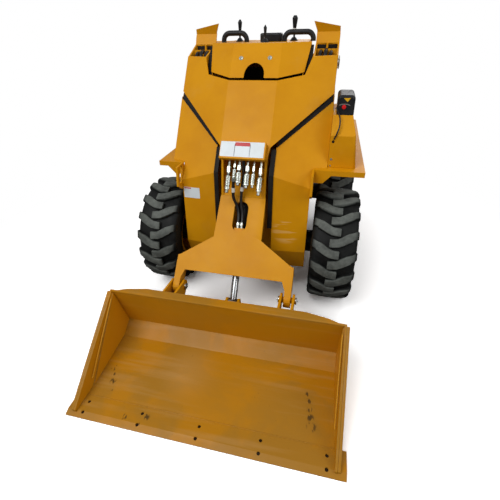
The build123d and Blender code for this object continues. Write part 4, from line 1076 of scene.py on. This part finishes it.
@dataclass(frozen=True)
class CouplerBank(Assembly):
    """Collars, knurls and bands of the hydraulic couplers and their hoses."""

    root: Pair = (-147, 772)
    lean: Triple = (0, -0.65, -1)
    # width station, length, radius of each coupler
    couplers: tuple = (
        (-60, 148, 11), (-34, 84, 7), (-12, 112, 12), (26, 122, 12), (55, 118, 8), (87, 150, 11),
    )
    # share of the length, width, factor on the radius, what is added to it
    collars: tuple = ((0.5, 3.5, 1.0, 1.6), (0.86, 5, 1.0, 1.8), (0.2, 3, 0.6, 0.0))
    knurls: tuple[float, ...] = (0.6, 0.68, 0.76)
    # ends of each hose's white band, and of its metal collar
    bands: tuple = (
        ((-35.8, -198.6, 661), (-36.2, -199.0, 640)), ((0.6, -172.6, 656), (-1.0, -177.8, 637)),
    )
    ends: tuple = (
        ((-11, -229, 496.5), (-11, -239.6, 485)), ((8, -229, 496.5), (8, -239.6, 485)),
    )

    def build(self) -> None:
        """Make the metal rings, the dark seals and the hoses' bands."""
        rings, seals = Form(), Form()
        for coupler in self.couplers:
            self.add_coupler(rings, seals, *coupler)
        self.piece("coupler_collars", rings, Body.BOOM, Slot.ZINC)
        self.piece("coupler_seals", seals, Body.BOOM, Slot.PLASTIC, Look.SEAL)
        bands, collars = Form(), Form()
        for form, lines, radius in ((bands, self.bands, 8.2), (collars, self.ends, 8.8)):
            for start, end in lines:
                form.tube([at(*start), at(*end)], radius, 24)
        collars.round_edges(1.0)
        self.piece("hose_bands", bands, Body.BOOM, Slot.PLASTIC, Look.SLEEVE)
        self.piece("hose_collars", collars, Body.BOOM, Slot.ZINC)

    def add_coupler(self, rings: Form, seals: Form, x: float, length: float, radius: float) -> None:
        """Dress one coupler.

        Args:
            rings: The mesh of the metal rings.
            seals: The mesh of the dark seals.
            x: The coupler's width station.
            length: Its length.
            radius: Its radius.
        """
        axis = Vector(self.lean).normalized()
        start = at(x, *self.root)

        def along(way: float) -> Matrix:
            """Frame on the coupler's axis, so many millimetres from its root."""
            return frame_of(start + axis * way * MM, axis)

        for share, wide, factor, grow in self.collars:
            r = radius * factor + grow
            profile = [(r - 2, 0), (r, 0.8), (r, wide - 0.8), (r - 2, wide)]
            rings.turned(along(length * share), profile)
        r = radius + 0.7
        for share in self.knurls:
            profile = [(radius - 1, 0), (r, 0.5), (r, 1.6), (radius - 1, 2.1)]
            rings.turned(along(length * share), profile)
        r = radius * 0.72
        lip = [(r * 0.3, -1), (r * 0.82, 0), (r * 0.82, 2.2), (r * 0.45, 2.4), (r * 0.4, 0.5)]
        seals.turned(along(length - 1.5), lip, 24)
        seal = [(radius * 0.4, -3), (r, -2), (r, 2), (radius * 0.4, 3)]
        seals.turned(along(length * 0.44), seal, 24)


@dataclass(frozen=True)
class Labels(Assembly):
    """Blank labels with their coloured fields."""

    thick: float = 0.35
    corner: float = 2.0
    corner_steps: int = 4
    # name, width station and height of the middle, half width, half height, proud, look
    box_rows: tuple = (
        ("front_label", -2, 824, 99, 27, 0.15, Look.LABEL),
        ("front_label_red", -1, 842, 34, 6.5, 0.5, Look.LABEL_RED),
        ("front_label_left_line", -35.5, 821, 0.9, 22, 0.5, Look.LABEL_GREY),
        ("front_label_right_line", 34, 821, 0.9, 22, 0.5, Look.LABEL_GREY),
    )
    nose_rows: tuple = (
        ("side_label", -264, 594, 42, 27, 0.2, Look.LABEL),
        ("side_label_red", -284, 616, 18, 2.6, 0.5, Look.LABEL_RED),
    )

    def build(self) -> None:
        """Stick the labels on."""
        places = ((BOX_FRONT, Body.BOOM, self.box_rows), (LOWER_NOSE, Body.CHASSIS, self.nose_rows))
        for facet, body, rows in places:
            for name, x, z, half_x, half_z, proud, look in rows:
                form = Form()
                outline = self.rounded(half_x, half_z * math.hypot(1, facet.lean))
                form.slab(facet.place(x, z, proud), outline, self.thick)
                self.piece(name, form, body, Slot.PLASTIC, look)

    def rounded(self, half_x: float, half_y: float) -> Pairs:
        """Outline of a rectangle with round corners.

        Args:
            half_x: Half its width.
            half_y: Half its height.

        Returns:
            The outline's points.
        """
        points = []
        for quarter, (sx, sy) in enumerate(((1, 1), (-1, 1), (-1, -1), (1, -1))):
            for step in range(self.corner_steps):
                angle = math.radians(90 * quarter + 90 * step / (self.corner_steps - 1))
                x = sx * (half_x - self.corner) + self.corner * math.cos(angle)
                points.append((x, sy * (half_y - self.corner) + self.corner * math.sin(angle)))
        return points


@dataclass(frozen=True)
class RubberTrim(Assembly):
    """Rubber strips and seals round the nose panels, and dark sheets of painted shade in the hood's
    side gaps.
    """

    strip_x: float = 130.0
    strip_half: float = 11.0
    strip_thick: float = 5.0
    # facet, top and foot of each strip
    strips: tuple = ((UPPER_NOSE, 806, 707), (LOWER_NOSE, 709, 448))
    # the nose panels' slanted top edge: a point of it, its slope and the gap's drop
    edge_at: Pair = (117, 822)
    edge_slope: float = 189 / 254
    edge_drop: float = 24.9
    # width station and height above the edge of each corner of a seal, and how far back it is
    seal: tuple = ((146, 0.3), (368, 0.3), (368, 21), (146, 21))
    seal_back: float = 3.0
    seal_thick: float = 6.0
    # ends of the lip on the edge, and its section: below the edge, back
    lip_ends: Pair = (142, 371)
    lip: tuple = ((3, -0.5), (3, -2.6), (-2.5, -1), (-2.5, 2.6))
    # inner side of each dark sheet of painted shade in a hood side gap, its width, the
    # station whose plate it follows, and its section: height, back
    gap_shade_x: float = 224.0
    gap_shade_wide: float = 31.0
    gap_shade_on: float = 240.0
    gap_shade_section: tuple = ((1050, 16), (1200, 16), (1200, 21), (1050, 21))

    def build(self) -> None:
        """Lay the strips, the seals and the dark sheets of painted shade in the hood's gaps."""
        strips, seals, gap_shades = Form(), Form(), Form()
        for side in SIDES:
            for facet, high, low in self.strips:
                top, foot = (facet.place(side * self.strip_x, z) for z in (high, low))
                run = (foot.translation - top.translation).length / MM
                strips.slab(foot, strip(self.strip_half, 0, run), self.strip_thick)
            self.add_seal(seals, side)
            # dark sheet in the hood's side gap: painted shade of the gap
            line = [(HOOD_PLATE.aft(self.gap_shade_on, z) + back, z) for z, back in self.gap_shade_section]
            outline = [at(side * self.gap_shade_x, aft, z) for aft, z in line]
            gap_shades.prism(outline, LEFT * side * self.gap_shade_wide * MM)
        strips.round_edges(1.5)
        gap_shades.round_edges(1.0)
        for name, form in (("panel_strips", strips), ("gap_seals", seals), ("hood_gap_shades", gap_shades)):
            self.piece(name, form, Body.CHASSIS, Slot.PLASTIC, Look.SEAL)

    def edge(self, x: float) -> float:
        """Height of a nose panel's slanted top edge at a width station."""
        return self.edge_at[1] + (x - self.edge_at[0]) * self.edge_slope - self.edge_drop

    def add_seal(self, form: Form, side: int) -> None:
        """Lay a dark seal behind the slanted gap between nose and boom, and a lip on its edge.

        Args:
            form: The seals' mesh.
            side: 1 for the left, -1 for the right.
        """
        def on_nose(x: float, z: float, back: float) -> Vector:
            """Point behind the upper nose's face."""
            return at(side * x, UPPER_NOSE.aft(x, z) + back, z)

        outline = [on_nose(x, self.edge(x) + rise, self.seal_back) for x, rise in self.seal]
        form.prism(outline, BACK * self.seal_thick * MM)
        form.stack([
            [on_nose(x, self.edge(x) - drop, back) for drop, back in self.lip]
            for x in self.lip_ends
        ])


@dataclass(frozen=True)
class Fasteners(Assembly):
    """Bolt heads of the plates, the tank and the covers, and the pins' heads."""

    # width station, height; radius and height of the heads
    hood: tuple = ((-71, 1154.7), (65.3, 1155.1))
    hood_size: Pair = (7.0, 5)
    # the tank's bolts: width station, height, radius
    tank: tuple = ((387, 768, 3.6), (386, 738, 3.0))
    tank_aft: float = -51.0
    tank_high: float = 3.0
    # the side covers' bolts: aft, height, sides
    cover: tuple = (
        (80, 770, (-1,)), (170, 950, (-1,)), (640, 770, SIDES), (640, 950, SIDES),
    )
    cover_x: float = 374.0
    cover_size: Pair = (6.0, 4)
    grille: tuple = ((210, 610), (210, 1040), (150, 610), (150, 1040))
    grille_aft: float = 745.0
    grille_size: Pair = (5.0, 4)
    # width station and way of the bucket pins' heads, and radius and height of their profiles
    ears: tuple = ((222, -1), (300, 1))
    ear_at: Pair = (-442, 245)
    ear_head: tuple = ((16, -2), (16, 1.5), (14, 3), (5, 3.2))
    ear_nipple: tuple = ((3.2, 2), (3.2, 6), (2.2, 7), (2.2, 9), (1, 9.6))
    pivot_at: Triple = (379, 820, 1080)
    pivot_head: tuple = ((24, -3), (24, 1.5), (21, 4), (6, 4.2))
    pivot_nipple: tuple = ((4, 3), (4, 7), (2.5, 9), (1, 10))

    def build(self) -> None:
        """Put the bolts in."""
        hood, chassis, pivots, bucket = Form(), Form(), Form(), Form()
        for x, z in self.hood:
            self.bolt(hood, HOOD_PLATE.place(x, z), *self.hood_size)
        for x, z, radius in self.tank:
            self.bolt(chassis, frame_of(at(x, self.tank_aft, z), FORWARD), radius, self.tank_high)
        for side in SIDES:
            for aft, z, sides in self.cover:
                if side in sides:
                    place = frame_of(at(side * self.cover_x, aft, z), LEFT * side)
                    self.bolt(chassis, place, *self.cover_size)
            for x, z in self.grille:
                place = frame_of(at(side * x, self.grille_aft, z), BACK)
                self.bolt(chassis, place, *self.grille_size)
            for x, way in self.ears:
                place = frame_of(at(side * x, *self.ear_at), LEFT * side * way)
                bucket.turned(place, self.ear_head)
                bucket.turned(place, self.ear_nipple, 12)
            x, aft, z = self.pivot_at
            place = frame_of(at(side * x, aft, z), LEFT * side)
            pivots.turned(place, self.pivot_head)
            pivots.turned(place, self.pivot_nipple, 12)
        for name, form, body, sharp in (
            ("hood_bolts", hood, Body.CHASSIS, 0.4), ("cover_bolts", chassis, Body.CHASSIS, 0.4),
            ("bucket_pin_heads", bucket, Body.BUCKET, 0.5),
            ("pivot_pin_heads", pivots, Body.CHASSIS, 0.5),
        ):
            self.piece(name, form, body, Slot.ZINC, sharp=sharp)

    def bolt(self, form: Form, place: Matrix, r: float, h: float) -> None:
        """Add a hexagon head, by its radius and height, on a washer."""
        form.turned(place, [(r * 1.45, -0.5), (r * 1.45, 1.4), (r * 0.5, 1.6)], 24)
        form.turned(place, [(r, 1.0), (r, h * 0.85), (r * 0.86, h), (r * 0.3, h)], 6)


@dataclass(frozen=True)
class ArmFittings(Assembly):
    """Hoses in the arms' openings, dark sheets of painted shade behind them and the left arm's draw
    latch.
    """

    # width station and lift of each hose, and its points: further out, aft, height
    hoses: tuple = ((285, 0), (309, 5), (333, -3))
    hose_route: tuple = ((0, 262, 1112), (0, 275, 1150), (2, 300, 1168), (3, 336, 1170))
    hose_radius: float = 8.5
    # dark sheet behind each arm's hoses, painted shade of the opening: its foot's middle, half
    # sizes, height
    shade_sheet_at: Triple = (314.5, 388, 1080)
    shade_sheet_half: Pair = (48, 2.5)
    shade_sheet_high: float = 115.8
    latch_at: Triple = (371, 385, 1082)
    # half width, low and high end of the latch's two plates
    latch_plates: tuple = ((9, 0, 26), (8, 48, 66))
    plate_thick: float = 2.2
    # the wire bail's half: width station, out from the latch's middle, height
    bail_radius: float = 1.8
    bail: tuple = ((378, 9, 1088), (379, 9, 1112), (379, 9, 1140), (378, 0, 1146))
    barrel_at: Triple = (378, 372, 1094)
    barrel: tuple = ((3, 0), (4, 0.6), (4, 25.4), (3, 26))
    lever_at: Triple = (380, 385, 1094)
    lever: tuple = ((-7, 0), (7, 0), (6, 34), (0, 39), (-6, 34))
    lever_thick: float = 2.0

    def build(self) -> None:
        """Lay the hoses, put the dark sheets of painted shade behind them and fix the latch."""
        hoses, shade_sheets = Form(), Form()
        half_x, half_y = self.shade_sheet_half
        for side in SIDES:
            for x, lift in self.hoses:
                points = [at(side * (x + out), aft, z + lift) for out, aft, z in self.hose_route]
                hoses.tube(curve_through(points), self.hose_radius, 14)
            x, aft, z = self.shade_sheet_at
            place = Matrix.Translation(at(side * x, aft, z))
            shade_sheets.slab(place, strip(half_x, -half_y, half_y), self.shade_sheet_high)
        self.piece("arm_hoses", hoses, Body.BOOM, Slot.HOSE)
        # the dark sheets paint the shade inside the arms' openings
        self.piece("arm_shade_sheets", shade_sheets, Body.BOOM, Slot.PLASTIC, Look.SEAL)
        self.latch()

    def latch(self) -> None:
        """Fix the draw latch on the left arm's side."""
        form = Form()
        plate = frame_of(at(*self.latch_at), LEFT, BACK)
        for half, low, high in self.latch_plates:
            form.slab(plate, strip(half, low, high), self.plate_thick)
        for side in SIDES:
            line = [at(x, self.latch_at[1] + side * out, z) for x, out, z in self.bail]
            form.tube(line, self.bail_radius, 8)
        form.turned(frame_of(at(*self.barrel_at), BACK), self.barrel, 16)
        form.slab(frame_of(at(*self.lever_at), LEFT, BACK), self.lever, self.lever_thick)
        self.piece("draw_latch", form, Body.BOOM, Slot.ZINC)


@dataclass(frozen=True)
class TankFittings(Assembly):
    """Cap's marks and button, the thin cable into the tank's side, and a dark disc of painted shade
    in its hole.
    """

    cap_at: Triple = (424, 11, 985)
    mark: tuple = ((-13, 30), (16, 31), (4, 15))
    mark_thick: float = 0.6
    # half width and height of the arc's outer and inner line, and where its middle is
    arc: tuple = ((24, 8), (19, 4))
    arc_x: float = -6.0
    arc_steps: int = 12
    arc_thick: float = 0.8
    button_at: Pair = (-8.0, -6.0)
    button: tuple = ((9, -1), (9, 3), (7.5, 4.5), (2, 5))
    cable_radius: float = 3.1
    cable: tuple = (
        (385, 20, 974), (396, 0, 958), (404.5, -24, 939), (406, -42, 911), (399, -56, 884),
        (389, -53, 858),
    )
    # dark disc of painted shade in the hole where the cable goes in: its place, and its profile's
    # radius and height
    hole_at: Triple = (387, -51, 847)
    hole: tuple = ((6, -1), (6, 0.8), (5, 1.2), (4.4, 0.4), (1, 0.3))

    def build(self) -> None:
        """Add the fittings to the tank and its cap."""
        front = frame_of(at(*self.cap_at), FORWARD, LEFT)
        mark, ring, button, cable, hole = (Form() for _ in range(5))
        mark.slab(front, self.mark, self.mark_thick)
        turns = [math.pi * i / self.arc_steps for i in range(self.arc_steps + 1)]
        outer, inner = ([(a * math.cos(t), b * math.sin(t)) for t in turns] for a, b in self.arc)
        middle = front @ Matrix.Translation((self.arc_x * MM, 0, 0))
        ring.slab(middle, outer + inner[::-1], self.arc_thick)
        x, y = self.button_at
        button.turned(front @ Matrix.Translation((x * MM, y * MM, 0)), self.button)
        cable.tube(curve_through([at(*point) for point in self.cable]), self.cable_radius, 12)
        hole.turned(frame_of(at(*self.hole_at), FORWARD), self.hole, 24)
        for name, form, slot, look in (
            ("cap_mark", mark, Slot.PLASTIC, Look.LABEL_YELLOW),
            ("cap_arc", ring, Slot.PLASTIC, Look.GREY),
            ("cap_button", button, Slot.PLASTIC, Look.BUTTON),
            ("tank_cable", cable, Slot.HOSE, None),
            ("tank_hole", hole, Slot.PLASTIC, Look.HOLE_SHADE),
        ):
            self.piece(name, form, Body.CHASSIS, slot, look)


@dataclass(frozen=True)
class BucketWelds(Assembly):
    """Weld beads of the bucket, the bands along its sides and dark discs of painted shade in its
    edge's holes.
    """

    pitch: float = 4.5
    weld_radius: float = 2.6
    seam_radius: float = 2.4
    # ends of each bead on the sides, given for the left one
    beads: tuple = (
        ((493.5, -636, 288), (493.5, -876, 60)), ((499, -575, 84), (499, -622, 44)),
    )
    seam: tuple = ((-498, -920.5, 12), (498, -920.5, 12))
    band_x: float = 509.0
    band_thick: float = 11.0
    band_round: float = 3.0
    band: tuple = ((-612, 311), (-998, 22), (-998, 13), (-926, 13), (-581, 270))
    # dark discs of painted shade in the cutting edge's holes: pitch, rows, height, profile
    hole_pitch: float = 237.0
    hole_rows: Pair = (-948, -992)
    hole_z: float = 3.0
    hole: tuple = ((6.4, 0), (6.4, 4), (3, 5))

    def build(self) -> None:
        """Lay the beads and bands, and put discs of painted shade in the holes."""
        welds, seam, bands, shade_discs = Form(), Form(), Form(), Form()
        for side in SIDES:
            for ends in self.beads:
                self.bead(welds, *(at(side * x, aft, z) for x, aft, z in ends), self.weld_radius)
            outline = [at(side * self.band_x, aft, z) for aft, z in self.band]
            bands.prism(outline, LEFT * side * self.band_thick * MM)
        self.bead(seam, *(at(*end) for end in self.seam), self.seam_radius)
        bands.round_edges(self.band_round)
        for column in range(-2, 3):
            for aft in self.hole_rows:
                place = Matrix.Translation(at(column * self.hole_pitch, aft, self.hole_z))
                shade_discs.turned(place, self.hole, 20)
        for name, form, slot, look, sharp in (
            # the beads' paler paint is a painted highlight
            ("bucket_welds", welds, Slot.YELLOW, Look.WELD, 1.2),
            ("edge_seam", seam, Slot.YELLOW, Look.BUCKET, 1.2),
            ("bucket_bands", bands, Slot.YELLOW, Look.BUCKET, 0.6),
            ("edge_hole_shade", shade_discs, Slot.PLASTIC, Look.HOLE_SHADE, 0.6),
        ):
            self.piece(name, form, Body.BUCKET, slot, look, sharp)

    def bead(self, form: Form, start: Vector, end: Vector, radius: float) -> None:
        """Lay one rippled bead.

        Args:
            form: The mesh.
            start: Where it starts.
            end: Where it ends.
            radius: Its largest radius in millimetres.
        """
        count = 2 * max(4, int((end - start).length / (self.pitch * MM)))
        line = [start.lerp(end, index / count) for index in range(count + 1)]
        radii = [radius if index % 2 else radius * 0.8 for index in range(count + 1)]
        form.tube(line, radii, 8)


@dataclass(frozen=True)
class CylinderFittings(Assembly):
    """Oil ports of the cylinders."""

    shares: Pair = (0.2, 0.84)
    port: tuple = ((9, 0), (9, 8), (7.5, 8.5), (7.5, 14), (6, 15), (2, 15))
    sunk: float = 3.0
    # body, width station, base and rod's eye (aft, height), barrel's radius
    rows: tuple = (
        (Body.LIFT_BARREL_LEFT, 287, (641, 480), (461, 1000), 33),
        (Body.LIFT_BARREL_RIGHT, -287, (641, 480), (461, 1000), 33),
        (Body.TILT_BARREL, 0, (-95, 598), (-425, 160), 30),
    )

    def build(self) -> None:
        """Weld two ports on each barrel, near its ends."""
        for body, x, base, eye, radius in self.rows:
            start = at(x, *base)
            axis = (at(x, *eye) - start).normalized()
            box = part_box(body.value)
            length = min(
                max(abs(corner[i] - start[i]) for corner in box) / abs(axis[i]) for i in (1, 2)
            )
            outward = LEFT.cross(axis)
            outward *= math.copysign(1, outward.z)
            form = Form()
            for share in self.shares:
                foot = start + axis * length * share + outward * (radius - self.sunk) * MM
                form.turned(frame_of(foot, outward), self.port, 12)
            self.piece(f"{body.value}_ports", form, body, Slot.BLACK)


@dataclass(frozen=True)
class Controls(Assembly):
    """Middle lever's bright shaft and the right lever's white collar."""

    shaft_at: Triple = (8, 350, 1214)
    shaft_lean: Triple = (0.01, 0, 1)
    shaft: tuple = ((5, 0), (5, 40), (2, 40.5))
    collar_at: Triple = (139, 470, 1256)
    collar: tuple = ((7, 0), (10, 1), (10, 8), (7, 9))

    def build(self) -> None:
        """Add the shaft and the collar."""
        shaft, collar = Form(), Form()
        shaft.turned(frame_of(at(*self.shaft_at), Vector(self.shaft_lean)), self.shaft, 20)
        collar.turned(frame_of(at(*self.collar_at), UP), self.collar, 24)
        self.piece("middle_lever_shaft", shaft, Body.CHASSIS, Slot.CHROME)
        self.piece("right_lever_collar", collar, Body.CHASSIS, Slot.PLASTIC, Look.SLEEVE)


@dataclass(frozen=True)
class PlatformTread(Assembly):
    """Raised bars on the operator's platform."""

    rows: int = 7
    columns: int = 12
    corner: Triple = (-190, 950, 262)
    pitch: Pair = (34.5, 27)
    stagger: float = 9.0
    bar_half: Pair = (11, 2.5)
    bar_high: float = 1.8

    def build(self) -> None:
        """Lay the bars."""
        form = Form()
        half_x, half_y = self.bar_half
        for row in range(self.rows):
            for column in range(self.columns):
                x = self.corner[0] + column * self.pitch[0] + (row % 2) * self.stagger
                place = at(x, self.corner[1] + row * self.pitch[1], self.corner[2])
                turn = Matrix.Rotation(math.radians(45 if (row + column) % 2 else -45), 4, "Z")
                bar = strip(half_x, -half_y, half_y)
                form.slab(Matrix.Translation(place) @ turn, bar, self.bar_high)
        self.piece("platform_tread", form, Body.PLATFORM, Slot.BLACK)


def main() -> None:
    """Build the studio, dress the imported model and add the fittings."""
    logging.basicConfig(level=logging.INFO, format="%(message)s")
    PhotoCamera().build()
    finishes = Finishes()
    TiltHoses(finishes).build()
    Studio().build()
    for kind in (
        PaintedSteel, BoomFoot, Tyres, CouplerBank, Labels, RubberTrim, Fasteners, ArmFittings,
        TankFittings, BucketWelds, CylinderFittings, Controls, PlatformTread,
    ):
        kind(finishes).build()
        log.info("%s in place", kind.__name__)


if __name__ == "__main__":
    main()
